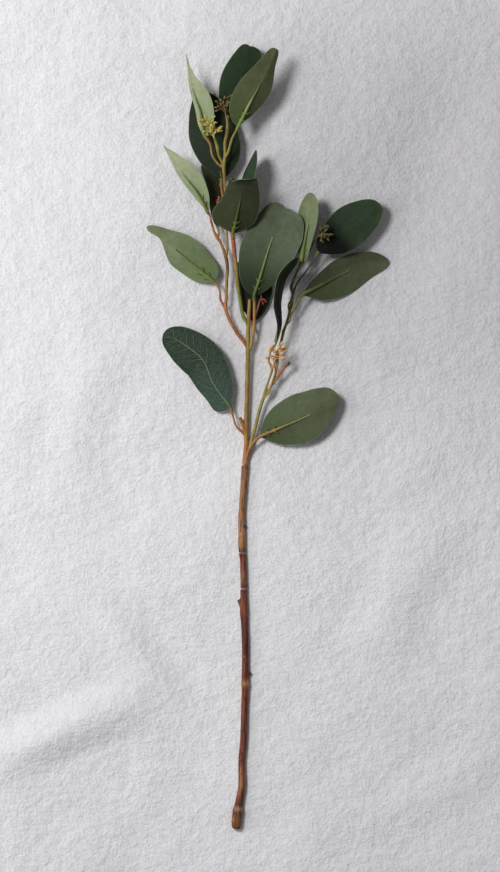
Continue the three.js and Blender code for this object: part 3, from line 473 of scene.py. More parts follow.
# Folds of the felt: middle in metres, turn, half length, half width and height in bump units
FOLDS = [
    (-0.166, -0.236, 24, 0.1, 0.028, 9.0), (-0.084, -0.165, -50, 0.09, 0.024, -5.0),
    (0.11, -0.12, 62, 0.12, 0.035, 4.0), (-0.15, 0.01, 80, 0.1, 0.035, 3.5),
    (0.12, 0.2, 70, 0.2, 0.07, -8.0), (0.14, -0.28, 30, 0.1, 0.03, 3.0),
]


# Stage, in metres: the felt, and each light's name, size and place. Sensor width in millimetres.
FELT_HALF = 6.0
FELT_TOP = -0.00006
LIGHTS = (("key", (0.6, 0.6), (-0.95, 0.7, 1.7)), ("side", (0.95, 1.35), (-1.3, 0.05, 0.68)))
LIGHT_TINT = (1.0, 0.985, 0.97)
ROOM_TINT = (1.0, 0.97, 0.96, 1.0)
SENSOR_WIDTH = 36.0
VIEW_END = 20.0


# Settings shown in the panel

def length(name, description, default):
    return bpy.props.FloatProperty(
        name=name, description=description, default=default, unit="LENGTH")


def power(name, description, default):
    return bpy.props.FloatProperty(
        name=name, description=description, default=default, unit="POWER")


def count(name, description, default):
    return bpy.props.IntProperty(name=name, description=description, default=default, min=4)


def colour(name, description, *tone):
    return bpy.props.FloatVectorProperty(
        name=name, description=description, default=srgb(*tone), subtype="COLOR")


class SprayLeafSettings(bpy.types.PropertyGroup):
    """Cloth leaves"""
    thickness: length("Thickness", "Thickness of the cloth", 0.00042)
    crease: length("Crease", "Width over which the blade bends at its midrib", 0.0016)
    vein_spacing: length("Vein Spacing", "Distance between two side veins along the midrib",
                         0.0066)
    fresh_colour: colour("Upper Side Edge", "Greener tone near the edge and tip of the dark side",
                         52, 78, 42)
    vein_colour: colour("Printed Veins", "Pale veins printed on the dark side", 128, 148, 124)
    rib_colour: colour("Printed Midrib", "Pale midrib printed on the dark side", 150, 168, 128)
    edge_colour: colour("Cut Edge", "Cloth bared by the cutter", 150, 160, 130)


class SprayMouldingSettings(bpy.types.PropertyGroup):
    """Moulded stem and sprigs"""
    sides: count("Sides", "Faces round a limb before its joints are melted together", 20)
    stem_cell: length("Stem Cell", "Cell of the skin over the stem", 0.00042)
    sprig_cell: length("Sprig Cell", "Cell of the skin over a sprig", 0.00027)
    bark_height: length("Bark Height", "Relief of the bark", 0.00045)
    sprig_height: length("Sprig Relief", "Unevenness of a sprig", 0.00022)


class SprayBudSettings(bpy.types.PropertyGroup):
    """Seed buds"""
    sides: count("Sides", "Faces round a bud", 10)
    rings: count("Rings", "Rings along a bud", 9)
    stalk: length("Stalk", "Radius of a bud's stalk", 0.00038)


class SprayStageSettings(bpy.types.PropertyGroup):
    """Floor, lights and camera"""
    floor_colour: colour("Floor", "Pale felt", 236, 237, 241)
    camera_height: length("Camera Height", "Height of the camera over the floor", 9.0)
    key_power: power("Key Light", "Power of the soft light at the upper left", 30.5)
    side_power: power("Side Light", "Power of the wide window at the left", 8.0)
    fill: bpy.props.FloatProperty(
        name="Fill", description="Brightness of the room round the spray", default=0.2)


SETTINGS = {
    "spray_leaves": SprayLeafSettings,
    "spray_moulding": SprayMouldingSettings,
    "spray_buds": SprayBudSettings,
    "spray_stage": SprayStageSettings,
}


def settings(name):
    return getattr(bpy.context.scene, name)


# Node trees

class Output:
    """An output socket that can be written into sums, each operator adding a Math node."""

    def __init__(self, graph, socket):
        self.graph = graph
        self.socket = socket

    def math(self, operation, *others):
        return self.graph.math(operation, self, *others)

    def __add__(self, other):
        return self.math("ADD", other)

    def __sub__(self, other):
        return self.math("SUBTRACT", other)

    def __rsub__(self, other):
        return self.graph.math("SUBTRACT", other, self)

    def __mul__(self, other):
        return self.math("MULTIPLY", other)

    __radd__ = __add__
    __rmul__ = __mul__

    def rise(self, low, high):
        """0 below `low`, 1 above `high`, smooth between them. `low` may be above `high`."""
        return self.graph.node("ShaderNodeMapRange", {"interpolation_type": "SMOOTHSTEP"}, {
            "Value": self, "From Min": low, "From Max": high, "To Min": 0.0, "To Max": 1.0},
            out="Result")


class Graph:
    """Adds nodes to one node tree."""

    def __init__(self, tree):
        self.tree = tree

    def node(self, kind, options=None, inputs=(), out=0):
        """One node, its settings given first, then its sockets by name, identifier or order."""
        node = self.tree.nodes.new(kind)
        for key, value in (options or {}).items():
            setattr(node, key, value)
        for key, value in (inputs.items() if isinstance(inputs, dict) else enumerate(inputs)):
            socket = self.find(node.inputs, key)
            if isinstance(value, Output):
                self.tree.links.new(value.socket, socket)
            else:
                colour = socket.type == "RGBA" and len(value) == 3
                socket.default_value = (*value, 1.0) if colour else value
        return Output(self, self.find(node.outputs, out))

    @staticmethod
    def find(sockets, key):
        if isinstance(key, int):
            return sockets[key]
        exact = [socket for socket in sockets if socket.identifier == key]
        return (exact or [socket for socket in sockets if socket.name == key])[0]

    def math(self, operation, *values):
        return self.node("ShaderNodeMath", {"operation": operation}, values)

    def named(self, name, out="Fac"):
        return self.node("ShaderNodeAttribute", {"attribute_name": name}, out=out)

    def place(self):
        return self.node("ShaderNodeTexCoord", out="Object")

    def parts(self, vector):
        split = self.node("ShaderNodeSeparateXYZ", inputs=[vector])
        return [Output(self, socket) for socket in split.socket.node.outputs]

    def joined(self, x, y, z=0.0):
        return self.node("ShaderNodeCombineXYZ", inputs=[x, y, z])

    def stretched(self, vector, scale):
        return self.node("ShaderNodeVectorMath", {"operation": "MULTIPLY"}, [vector, scale])

    def noise(self, vector, scale, detail=3.0, roughness=0.55, distortion=0.0):
        return self.node("ShaderNodeTexNoise", inputs={
            "Vector": vector, "Scale": scale, "Detail": detail, "Roughness": roughness,
            "Distortion": distortion})

    def noises(self, vector, *patterns):
        return [self.noise(vector, *pattern) for pattern in patterns]

    def cells(self, vector, scale, feature="DISTANCE_TO_EDGE"):
        return self.node("ShaderNodeTexVoronoi", {"feature": feature},
                         {"Vector": vector, "Scale": scale}, out="Distance")

    def mix(self, first, second, share, blend="MIX"):
        return self.node("ShaderNodeMix", {"data_type": "RGBA", "blend_type": blend}, {
            "A_Color": first, "B_Color": second, "Factor_Float": share}, out="Result_Color")

    def bump(self, height, distance, strength=1.0):
        return self.node("ShaderNodeBump", inputs={
            "Strength": strength, "Distance": distance, "Height": height}, out="Normal")


def scaled(colour, factor):
    return tuple(min(1, channel * factor) for channel in colour)


def between(first, second, share):
    return tuple(a * (1 - share) + b * share for a, b in zip(first, second))


class Finish(Graph):
    """The nodes of a new material, with constants set on the shader's own sockets."""

    def __init__(self, name, **constants):
        self.material = bpy.data.materials.new(name)
        self.material.use_nodes = True
        super().__init__(self.material.node_tree)
        for key, value in constants.items():
            self.socket(key).default_value = value

    def socket(self, name):
        title = name.replace("_", " ").title().replace("Ior", "IOR")
        return self.tree.nodes["Principled BSDF"].inputs[title]

    def fed(self, **wires):
        """The material, once its shader is wired."""
        for name, wire in wires.items():
            self.tree.links.new(wire.socket, self.socket(name))
        return self.material


# Finishes

MOULDED_ROUGHNESS = 0.5
MOULDED_STREAK = 0.55


def beside(value, spacing):
    """Distance from the nearest multiple of `spacing`."""
    return ((value * (1 / spacing)).math("FRACT") - 0.5).math("ABSOLUTE") * spacing


def vein_pattern(graph):
    """Strengths of the midrib, the side veins and the net between them, and the leaf's maps."""
    spacing = settings("spray_leaves").vein_spacing / MM
    across, along, edge = graph.parts(graph.named("leaf_map", "Vector"))
    run = graph.named("leaf_run")
    aside = across.math("ABSOLUTE")
    flat = graph.joined(across, along)
    drift = graph.noise(flat, 0.09, 2.0) * 4.0 + graph.noise(flat, 0.4, 1.0) * 0.7
    right_half = across.math("GREATER_THAN", 0.0)
    line = along - aside * 0.75 - aside * aside * 0.012 + drift + right_half * (spacing * 0.4)
    patchy = graph.noise(flat, 0.16, 2.0).rise(0.22, 0.5)
    main = beside(line, spacing).rise(0.34, 0.08) * edge.rise(0.98, 0.4) * patchy
    fine = beside(line + drift * 0.3, spacing * 0.31).rise(0.3, 0.06) * edge.rise(1.0, 0.6)
    net = graph.cells(graph.joined(across, along * 0.8), 0.62).rise(0.12, 0.02)
    midrib = aside.rise(0.48, 0.1) * run.rise(0.96, 0.7)
    return midrib, main, fine * 0.6 + net * 0.5, edge, run


def weave(graph):
    """Fine cloth: two crossed threads, slightly uneven."""
    across, along, _ = graph.parts(graph.named("leaf_map", "Vector"))
    uneven = graph.noise(graph.joined(across, along), 1.4, 2.0) * 1.5
    warp = (across * 9.0 + uneven).math("SINE")
    weft = (along * 9.0 - uneven).math("SINE")
    return warp * weft * 0.5 + 0.5


def dyed_and_shaded(graph, colour, leaf, ends):
    """Darkens one half of a blade more than the other as painted shade, and its base and tip
    unequally, partly as darker print and partly as painted shade.
    """
    left, right = leaf.get("halves", (1.0, 1.0))
    near, far = leaf.get("shade", ends)
    start, stop = leaf.get("shade_run", (0.05, 0.6))
    across = graph.parts(graph.named("leaf_map", "Vector"))[0]
    side_tone = graph.mix((left,) * 3, (right,) * 3, across.rise(5.0, -5.0))
    end_tone = graph.mix((near,) * 3, (far,) * 3, graph.named("leaf_run").rise(start, stop))
    return graph.mix(graph.mix(colour, side_tone, 1.0, "MULTIPLY"), end_tone, 1.0, "MULTIPLY")


def upper_finish(name, leaf):
    """Dark printed side: satin cloth with pale veins, darker at the base, fresher at the edge."""
    cloth = settings("spray_leaves")
    colour = CLOTH[leaf.get("upper", "bottle_green")]
    printed = leaf.get("print", 0.1)
    graph = Finish(f"{name}_upper", roughness=0.55, specular_ior_level=0.09)
    midrib, side_vein, net, edge, run = vein_pattern(graph)
    place = graph.place()
    patch, cloud, fibre = graph.noises(place, (240, 3, 0.6), (60, 2), (1100, 2))
    fresh = between(colour, cloth.fresh_colour, 0.55)
    freshness = edge.rise(0.5, 1.0) * 0.35 + run.rise(0.55, 1.0) * 0.5
    base = graph.mix(colour, fresh, freshness * cloud.rise(0.3, 0.6))
    base = graph.mix(base, scaled(colour, 0.7), patch.rise(0.5, 0.66) * 0.45)
    base = graph.mix(base, scaled(colour, 1.35), patch.rise(0.48, 0.34) * 0.4)
    base = graph.mix(base, (0.0, 0.0, 0.0), fibre.rise(0.4, 0.7) * 0.12)
    # painted shade: one half darker than the other, and the ends darkened partly as print and
    # partly as painted shade
    base = dyed_and_shaded(graph, base, leaf, (0.8, 1.0))
    veined = graph.mix(base, tuple(cloth.vein_colour), (side_vein * 0.24 + net * 0.24) * printed)
    with_rib = graph.mix(veined, tuple(cloth.rib_colour), midrib * 0.5 * printed)
    # pale rim at the very edge: partly the bared cut edge of the cloth, partly a painted highlight
    # along it
    bared_and_lit_edge = graph.mix(with_rib, tuple(cloth.edge_colour), edge.rise(0.972, 1.0) * 0.3)
    height = side_vein * -0.5 - net * 0.2 - midrib * 0.9 + weave(graph) * 0.12 + patch * 0.5
    return graph.fed(base_color=bared_and_lit_edge, normal=graph.bump(height, 0.0003, 0.7),
                     roughness=fibre.rise(0.2, 0.8) * 0.14 + 0.5)


def under_finish(name, leaf):
    """Underside: matt cloth, mottled, with the veins showing faintly through."""
    cloth = settings("spray_leaves")
    colour = CLOTH[leaf.get("under", "sage")]
    graph = Finish(f"{name}_under", roughness=0.85, specular_ior_level=0.1)
    midrib, side_vein, net, edge, run = vein_pattern(graph)
    place = graph.place()
    cloud, mottle, fibre = graph.noises(place, (70, 3, 0.6), (260, 3, 0.6), (900, 3, 0.7))
    spread = cloud.rise(0.32, 0.68) * 0.45 + mottle.rise(0.34, 0.66) * 0.35
    light = scaled(colour, 1.22)
    green = (colour[0] * 0.6, colour[1] * 0.76, colour[2] * 0.5)
    base = graph.mix(scaled(colour, 0.78), light, spread + fibre.rise(0.3, 0.7) * 0.2)
    base = graph.mix(base, green, run.rise(0.62, 0.05) * (0.3 + cloud.rise(0.35, 0.6) * 0.35))
    base = graph.mix(base, green, edge.rise(0.4, 0.0) * run.rise(0.4, 0.0) * 0.6)
    # painted shade: one half darker than the other, and the ends darkened partly as print and
    # partly as painted shade
    base = dyed_and_shaded(graph, base, leaf, (1.0, 1.0))
    veined = graph.mix(base, scaled(colour, 0.62),
                       side_vein * 0.12 + net * 0.06 + midrib * 0.16)
    # pale rim at the very edge: partly the bared cut edge of the cloth, partly a painted highlight
    # along it
    bared_and_lit_edge = graph.mix(veined, tuple(cloth.edge_colour), edge.rise(0.972, 1.0) * 0.45)
    height = side_vein * 0.35 + midrib * 0.5 + weave(graph) * 0.22 + fibre * 0.25 + mottle * 0.4
    return graph.fed(base_color=bared_and_lit_edge, normal=graph.bump(height, 0.00025, 0.6),
                     roughness=fibre.rise(0.2, 0.8) * 0.12 + 0.78)


def edge_finish():
    """Cut edge of the cloth, with its threads bared."""
    leaf = settings("spray_leaves")
    graph = Finish("leaf_cut_edge", roughness=0.9, specular_ior_level=0.2)
    thread = graph.noise(graph.place(), 1600.0, 2.0)
    colour = tuple(leaf.edge_colour)
    base = graph.mix(scaled(colour, 0.7), colour, thread.rise(0.35, 0.65))
    return graph.fed(base_color=base, normal=graph.bump(thread, 0.0001, 0.5))


def moulded_finish(name):
    """Moulded and hand-tinted plastic: its paint follows the limb, under streaks and specks."""
    graph = Finish(name, roughness=MOULDED_ROUGHNESS, specular_ior_level=0.3)
    paint = graph.named("paint", "Color")
    place = graph.place()
    along = graph.stretched(place, (1.0, 0.16, 1.0))
    streaks = graph.noise(along, 620.0, 4.0, 0.6)
    blotch = graph.noise(place, 160.0, 3.0, 0.6)
    speck = graph.cells(place, 520.0, "F1").rise(0.16, 0.1) * blotch.rise(0.5, 0.62)
    dark = graph.mix(paint, (0.34, 0.28, 0.2), MOULDED_STREAK, "MULTIPLY")
    light = graph.mix(paint, (1.35, 1.3, 1.15), MOULDED_STREAK, "MULTIPLY")
    base = graph.mix(dark, light, streaks.rise(0.32, 0.68) * 0.7 + blotch.rise(0.35, 0.65) * 0.3)
    base = graph.mix(base, srgb(214, 190, 140), speck * 0.4)
    height = streaks * 0.6 + blotch * 0.6 + speck * 0.2
    return graph.fed(base_color=base, normal=graph.bump(height, 0.0003, 0.55),
                     roughness=streaks.rise(0.3, 0.7) * 0.16 + (MOULDED_ROUGHNESS - 0.06))


def bark_finish(name):
    """Moulded bark: long grooves and pits darkened as painted shade, flaked patches lightened as
    painted highlights, and pale flecks on scuffed high spots.
    """
    graph = Finish(name, roughness=0.58, specular_ior_level=0.25)
    paint = graph.named("paint", "Color")
    place = graph.place()
    long_way = graph.stretched(place, (1.0, 0.09, 1.0))
    grooves = graph.noise(long_way, 640.0, 4.0, 0.62, 0.3)
    flakes_and_highlights = graph.noise(graph.stretched(place, (1.0, 0.28, 1.0)), 260.0, 5.0, 0.65)
    patch = graph.noise(graph.stretched(place, (1.0, 0.6, 1.0)), 80.0, 3.0, 0.6)
    pits = graph.cells(place, 430.0, "F1").rise(0.2, 0.08) * flakes_and_highlights.rise(0.48, 0.6)
    fleck = graph.cells(graph.stretched(place, (1.0, 0.5, 1.0)), 380.0, "F1").rise(0.17, 0.1)
    # dark is painted shade in the grooves and the pits, light is painted highlights on the raised
    # flakes
    dark = graph.mix(paint, (0.24, 0.2, 0.18), 1.0, "MULTIPLY")
    red = graph.mix(paint, (1.06, 0.84, 0.76), 1.0, "MULTIPLY")
    light = graph.mix(paint, (2.1, 2.0, 1.8), 1.0, "MULTIPLY")
    base = graph.mix(paint, red, patch.rise(0.38, 0.58))
    base = graph.mix(base, dark, grooves.rise(0.56, 0.4) * 0.85)
    base = graph.mix(base, light, flakes_and_highlights.rise(0.54, 0.68) * 0.7)
    base = graph.mix(base, dark, pits * 0.8)
    base = graph.mix(base, srgb(196, 164, 134), fleck * patch.rise(0.5, 0.6) * 0.6)
    height = grooves * 1.3 + flakes_and_highlights - pits * 0.8 + fleck * 0.3
    return graph.fed(base_color=base, normal=graph.bump(height, 0.0007, 0.8),
                     roughness=flakes_and_highlights.rise(0.3, 0.7) * 0.2 + 0.42)


def bud_finish(name, paints):
    """Moulded bud: a pale cap that darkens to its tip, tinted by hand and slightly glossy."""
    body, tip = paints
    graph = Finish(name, roughness=0.42, specular_ior_level=0.5)
    place = graph.place()
    tone = graph.named("tone")
    blotch = graph.noise(place, 420.0, 3.0, 0.6)
    stalk = between(body, tip, 0.25)
    shade = graph.mix(stalk, body, tone.rise(0.02, 0.2))
    shade = graph.mix(shade, tip, (tone + (blotch - 0.5) * 0.5).rise(0.5, 0.95) * 0.85)
    shade = graph.mix(shade, scaled(tip, 0.4), blotch.rise(0.62, 0.75) * 0.5)
    return graph.fed(base_color=shade, normal=graph.bump(blotch, 0.0002, 0.5),
                     roughness=blotch.rise(0.3, 0.7) * 0.2 + 0.34)


def steel_finish():
    """Drawn steel wire: fine lengthwise lines and a few dull spots."""
    graph = Finish("wire_steel", metallic=1.0, roughness=0.35)
    place = graph.place()
    lines = graph.noise(graph.stretched(place, (1.0, 0.02, 1.0)), 4200.0, 2.0)
    dull = graph.noise(place, 300.0, 3.0)
    base = graph.mix(srgb(148, 148, 146), srgb(186, 186, 184), lines.rise(0.3, 0.7))
    return graph.fed(base_color=graph.mix(base, srgb(110, 104, 98), dull.rise(0.6, 0.75) * 0.6),
                     roughness=dull.rise(0.4, 0.7) * 0.25 + 0.25,
                     normal=graph.bump(lines, 0.00003, 0.4))


def felt_finish():
    """Pale felt: short matted fibres over a gently uneven sheet, with a painted shadow darkening
    it round a point at the upper right.
    """
    stage = settings("spray_stage")
    graph = Finish("pale_felt", roughness=0.95, specular_ior_level=0.1)
    place = graph.place()
    fibre, clump, dimple, swell = graph.noises(
        place, (1100, 3, 0.7), (430, 3, 0.6), (130, 2, 0.5), (6, 2, 0.5))
    colour = tuple(stage.floor_colour)
    cloud = graph.noise(place, 55.0, 3.0, 0.6)
    # painted shadow: the felt darkens towards a point at the upper right, fading out over about
    # 0.34 m
    away = graph.node("ShaderNodeVectorMath", {"operation": "DISTANCE"},
                      [place, (0.13, 0.2, 0.0)], out="Value")
    matted = clump.rise(0.34, 0.62) * 0.4 + fibre.rise(0.3, 0.7) * 0.3
    matted = matted + dimple.rise(0.32, 0.66) * 0.15 + cloud.rise(0.35, 0.62) * 0.15
    base = graph.mix(scaled(colour, 0.8), colour, matted)
    base = graph.mix(base, (0.74, 0.73, 0.74), away.rise(0.34, 0.04) * 0.9, "MULTIPLY")
    height = fibre * 0.5 + clump * 0.9 + dimple * 1.6 + cloud * 1.6 + swell * 20.0
    for fold in FOLDS:
        height = height + folded(graph, place, *fold)
    return graph.fed(base_color=base, normal=graph.bump(height, 0.0012, 0.75))


def folded(graph, place, x, y, turn, length, width, rise):
    """A soft fold: a ridge `rise` high about (x, y), `turn` degrees from the X axis."""
    across, up, _ = graph.parts(place)
    cosine, sine = math.cos(math.radians(turn)), math.sin(math.radians(turn))
    along = ((across - x) * cosine + (up - y) * sine).math("ABSOLUTE")
    aside = ((up - y) * cosine - (across - x) * sine).math("ABSOLUTE")
    return along.rise(length, 0.0) * aside.rise(width, 0.0) * rise


# Curves

def unit(vectors):
    return vectors / np.maximum(np.linalg.norm(vectors, axis=-1, keepdims=True), 1e-12)


def hermite(u):
    """Weights of a span's two ends on a cubic curve, then of the slopes there."""
    return (2 * u**3 - 3 * u**2 + 1, 3 * u**2 - 2 * u**3, u**3 - 2 * u**2 + u, u**3 - u**2)


def smooth_path(points, steps):
    """The centripetal curve through `points`, `steps` samples to a span, with any further columns
    such as the radius blended evenly."""
    table = np.asarray(points, float)
    spot = table[:, :3]
    guide = np.vstack([2 * spot[0] - spot[1], spot, 2 * spot[-1] - spot[-2]])
    gap = np.maximum(np.linalg.norm(np.diff(guide, axis=0), axis=1), 1e-8) ** 0.5
    where = np.linspace(0, len(spot) - 1, steps * (len(spot) - 1) + 1)
    at = np.minimum(where.astype(int), len(spot) - 2)
    w = (where - at)[:, None]
    a, b, c, d = (guide[at + i] for i in range(4))
    ab, bc, cd = (gap[at + i][:, None] for i in range(3))
    start = ((b - a) / ab - (c - a) / (ab + bc) + (c - b) / bc) * bc
    finish = ((c - b) / bc - (d - b) / (bc + cd) + (d - c) / cd) * bc
    at_b, at_c, from_b, into_c = hermite(w)
    path = at_b * b + from_b * start + at_c * c + into_c * finish
    rest = table[at, 3:] * (1 - w) + table[at + 1, 3:] * w
    return np.hstack([path, rest])


class Rib:
    """A leaf's midrib, read by the share of its length."""

    SAMPLES = 60

    def __init__(self, points):
        self.path = smooth_path(points, self.SAMPLES)
        steps = np.linalg.norm(np.diff(self.path, axis=0), axis=1)
        self.run = np.concatenate([[0], np.cumsum(steps)])
        self.length = self.run[-1]

    def at(self, share):
        where = np.clip(share, 0, 1) * self.length
        return np.stack([np.interp(where, self.run, self.path[:, i]) for i in range(3)], axis=-1)

    def forward(self, share, step=1e-3):
        return unit(self.at(np.minimum(share + step, 1)) - self.at(np.maximum(share - step, 0)))


def leaf_frame(leaf, rib, share):
    """Middle, forward, leftward and upward directions, and each half's slope, along the rib."""
    forward = rib.forward(share)
    leftward = unit(np.stack([-forward[:, 1], forward[:, 0], np.zeros(len(forward))], axis=-1))
    upward = unit(np.cross(forward, leftward))
    slope = {side: np.radians(near * (1 - share) + far * share)
             for side, (near, far) in zip(("left", "right"), leaf["tilt"])}
    return rib.at(share), forward, leftward, upward, slope


def half_width(widths, phi):
    """Half width at the angles `phi`, on a smooth curve through the widths at LEAF_STATIONS."""
    x = np.array(LEAF_STATIONS, float)
    y = np.array([0, *widths, 0], float)
    slopes = np.empty(len(x))
    slopes[1:-1] = (y[2:] - y[:-2]) / (x[2:] - x[:-2])
    slopes[0] = (y[1] - y[0]) / (x[1] - x[0])
    slopes[-1] = (y[-1] - y[-2]) / (x[-1] - x[-2])
    at = np.clip(np.searchsorted(x, phi) - 1, 0, len(x) - 2)
    span = x[at + 1] - x[at]
    here, there, leaving, arriving = hermite((phi - x[at]) / span)
    value = (here * y[at] + there * y[at + 1]
             + span * (leaving * slopes[at] + arriving * slopes[at + 1]))
    return np.maximum(value, 0)


# Leaf blades

def blade_sheet(leaf):
    """The middle surface of a blade as a grid of points, with the leaf's own map of it."""
    crease = settings("spray_leaves").crease / MM
    rib = Rib(leaf["rib"])
    phi = np.linspace(0, 180, LEAF_ROWS + 1)
    share = (1 - np.cos(np.radians(phi))) / 2
    middle, forward, leftward, upward, slope = leaf_frame(leaf, rib, share)
    across = np.linspace(1, -1, LEAF_COLUMNS + 1)
    lobe = np.sin(np.pi * np.maximum(0, phi - LOBES_FROM) / (180 - LOBES_FROM))
    start = leaf["rib"][0][0]
    sheet = np.zeros((LEAF_ROWS + 1, LEAF_COLUMNS + 1, 3))
    leaf_map = np.zeros_like(sheet)
    for column, reach in enumerate(across):
        side = "left" if reach >= 0 else "right"
        sign = 1 if reach >= 0 else -1
        angle = slope[side]
        width = half_width(leaf[side], phi)
        out = abs(reach) * width
        soft = crease * np.cos(angle)
        climb = np.tan(angle) * (np.sqrt(out**2 + soft**2) - soft)
        normal = np.cos(angle)[:, None] * upward - sign * np.sin(angle)[:, None] * leftward
        notch = leaf.get("notch", (0, 0))[sign < 0] * lobe * min(1, abs(reach) * LOBE_ROUNDING)
        ripple = leaf.get("wave", 0) * np.sin(share * RIPPLE_TURN + RIPPLE_START[side])
        ripple += UNDULATION * np.sin(share * UNDULATION_TURN + start + 2 * sign)
        ripple *= reach**2 * np.sin(np.radians(phi))
        sheet[:, column] = (middle + sign * out[:, None] * leftward + climb[:, None] * upward
                            + notch[:, None] * forward + ripple[:, None] * normal)
        leaf_map[:, column] = np.stack([
            sign * out / np.cos(angle), share * rib.length + notch,
            np.full(len(phi), abs(reach))], axis=-1)
    return sheet, leaf_map, np.tile(share[:, None, None], (1, LEAF_COLUMNS + 1, 1))


def sheet_normals(sheet):
    """Unit normals of the grid, the ends taking those of their neighbour rows."""
    along = np.gradient(sheet, axis=0)
    aside = np.gradient(sheet, axis=1)
    normals = unit(np.cross(aside, along))
    normals[0], normals[-1] = normals[1], normals[-2]
    up_share = np.sign(normals[..., 2].mean())
    return normals * (up_share if up_share else 1)


def settle(leaf):
    """Turns a leaf that carries the spray down about its base until it touches the floor."""
    half = half_cloth()
    for _ in range(SETTLING_PASSES):
        lowest = blade_sheet(leaf)[0][..., 2].min() - half
        leaf["rib"] = [leaf["rib"][0]] + [[x, y, z - lowest] for x, y, z in leaf["rib"][1:]]


def new_mesh_object(name, vertices, faces=(), edges=()):
    mesh = bpy.data.meshes.new(name)
    mesh.from_pydata(vertices.tolist(), list(edges), list(faces))
    mesh.update()
    piece = bpy.data.objects.new(name, mesh)
    bpy.context.scene.collection.objects.link(piece)
    return piece


def half_cloth():
    """Half the thickness of the cloth, in millimetres."""
    return settings("spray_leaves").thickness / MM / 2


def in_frame(points):
    """Millimetres from the joint, as metres in the frame."""
    return (np.asarray(points, float) + JOINT) * MM


def blade_faces(rows, columns):
    """Faces of a closed blade, in three lists: upper sheet, lower sheet, rim. The vertices run row
    by row, upper sheet first, and each sheet's first and last rows are single points."""
    count = (rows - 1) * (columns + 1) + 2

    def at(sheet, row, column):
        if row == 0:
            return sheet * count
        if row == rows:
            return sheet * count + count - 1
        return sheet * count + 1 + (row - 1) * (columns + 1) + column

    sheets = ([], [])
    for sheet in (0, 1):
        for row in range(rows):
            for column in range(columns):
                ring = [at(sheet, row, column), at(sheet, row, column + 1),
                        at(sheet, row + 1, column + 1), at(sheet, row + 1, column)]
                ring = list(dict.fromkeys(ring))
                sheets[sheet].append(ring[::-1] if sheet else ring)
    rim = []
    for row in range(rows):
        for column, flip in ((0, False), (columns, True)):
            ring = [at(0, row, column), at(0, row + 1, column),
                    at(1, row + 1, column), at(1, row, column)]
            rim.append(ring[::-1] if flip else ring)
    return sheets[0], sheets[1], rim


def add_attribute(mesh, name, kind, values):
    layer = mesh.attributes.new(name, kind, "POINT")
    field = {"FLOAT": "value", "FLOAT_VECTOR": "vector", "FLOAT_COLOR": "color"}[kind]
    layer.data.foreach_set(field, np.asarray(values, np.float32).ravel())


def blade_piece(name, leaf, edge_material):
    sheet, leaf_map, run = blade_sheet(leaf)
    normals = sheet_normals(sheet)
    half = half_cloth()
    taper = 1 - EDGE_THINNING * np.clip((leaf_map[..., 2:] - EDGE_FROM) / (1 - EDGE_FROM), 0, 1)
    levels = [sheet + normals * half * taper, sheet - normals * half * taper]

    def listed(grid):
        middle = LEAF_COLUMNS // 2
        inner = grid[1:-1].reshape(-1, grid.shape[-1])
        return np.vstack([grid[0, middle][None], inner, grid[-1, middle][None]])

    vertices = np.vstack([listed(level) for level in levels])
    upper, lower, rim = blade_faces(LEAF_ROWS, LEAF_COLUMNS)
    piece = new_mesh_object(f"{name}_cloth", in_frame(vertices), upper + lower + rim)
    mesh = piece.data
    add_attribute(mesh, "leaf_map", "FLOAT_VECTOR", np.vstack([listed(leaf_map)] * 2))
    add_attribute(mesh, "leaf_run", "FLOAT", np.vstack([listed(run)] * 2))
    dark = upper_finish(name, leaf)
    pale = under_finish(name, leaf)
    pale_up = "under" in leaf
    for material in ((pale, dark) if pale_up else (dark, pale)):
        mesh.materials.append(material)
    mesh.materials.append(edge_material)
    index = [0] * len(upper) + [1] * len(lower) + [2] * len(rim)
    mesh.polygons.foreach_set("material_index", index)
    mesh.polygons.foreach_set("use_smooth", [True] * len(index))
    mesh.set_sharp_from_angle(angle=SHARP_EDGE)
    keep(piece, name)


def keep(piece, node):
    """Hangs a finished piece on the body and hides the imported part that it stands for."""
    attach(piece, BODY)
    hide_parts(node)


# Moulded limbs

PATH_STEPS = 6
ROUNDED_END = ((0.3, 0.92), (0.45, 0.7))
NEAR_SAMPLES = 10
BARK_PATTERN = (260.0, (1.0, 0.22, 1.0))  # scale of the relief, and its stretch
SPRIG_PATTERN = (420.0, (1.0, 0.5, 1.0))
SPRIG_SEED = 10


def painted(points, names):
    """The points of a limb with the named colours spread evenly over them as further columns."""
    stops = np.array([PALETTE[name] for name in names.split()])
    where = np.linspace(0, len(stops) - 1, len(points))
    tint = np.stack([np.interp(where, range(len(stops)), stops[:, i]) for i in range(3)], axis=-1)
    return np.hstack([np.array(points, float), tint])


def with_rounded_ends(path):
    """Adds closing rings that round off both ends of a limb."""
    def cap(end, inner):
        outward = unit(end[:3] - inner[:3])
        return [np.array([*(end[:3] + outward * end[3] * rise), end[3] * narrow, *end[4:]])
                for rise, narrow in ROUNDED_END]
    return np.vstack([cap(path[0], path[1])[::-1], path, cap(path[-1], path[-2])])


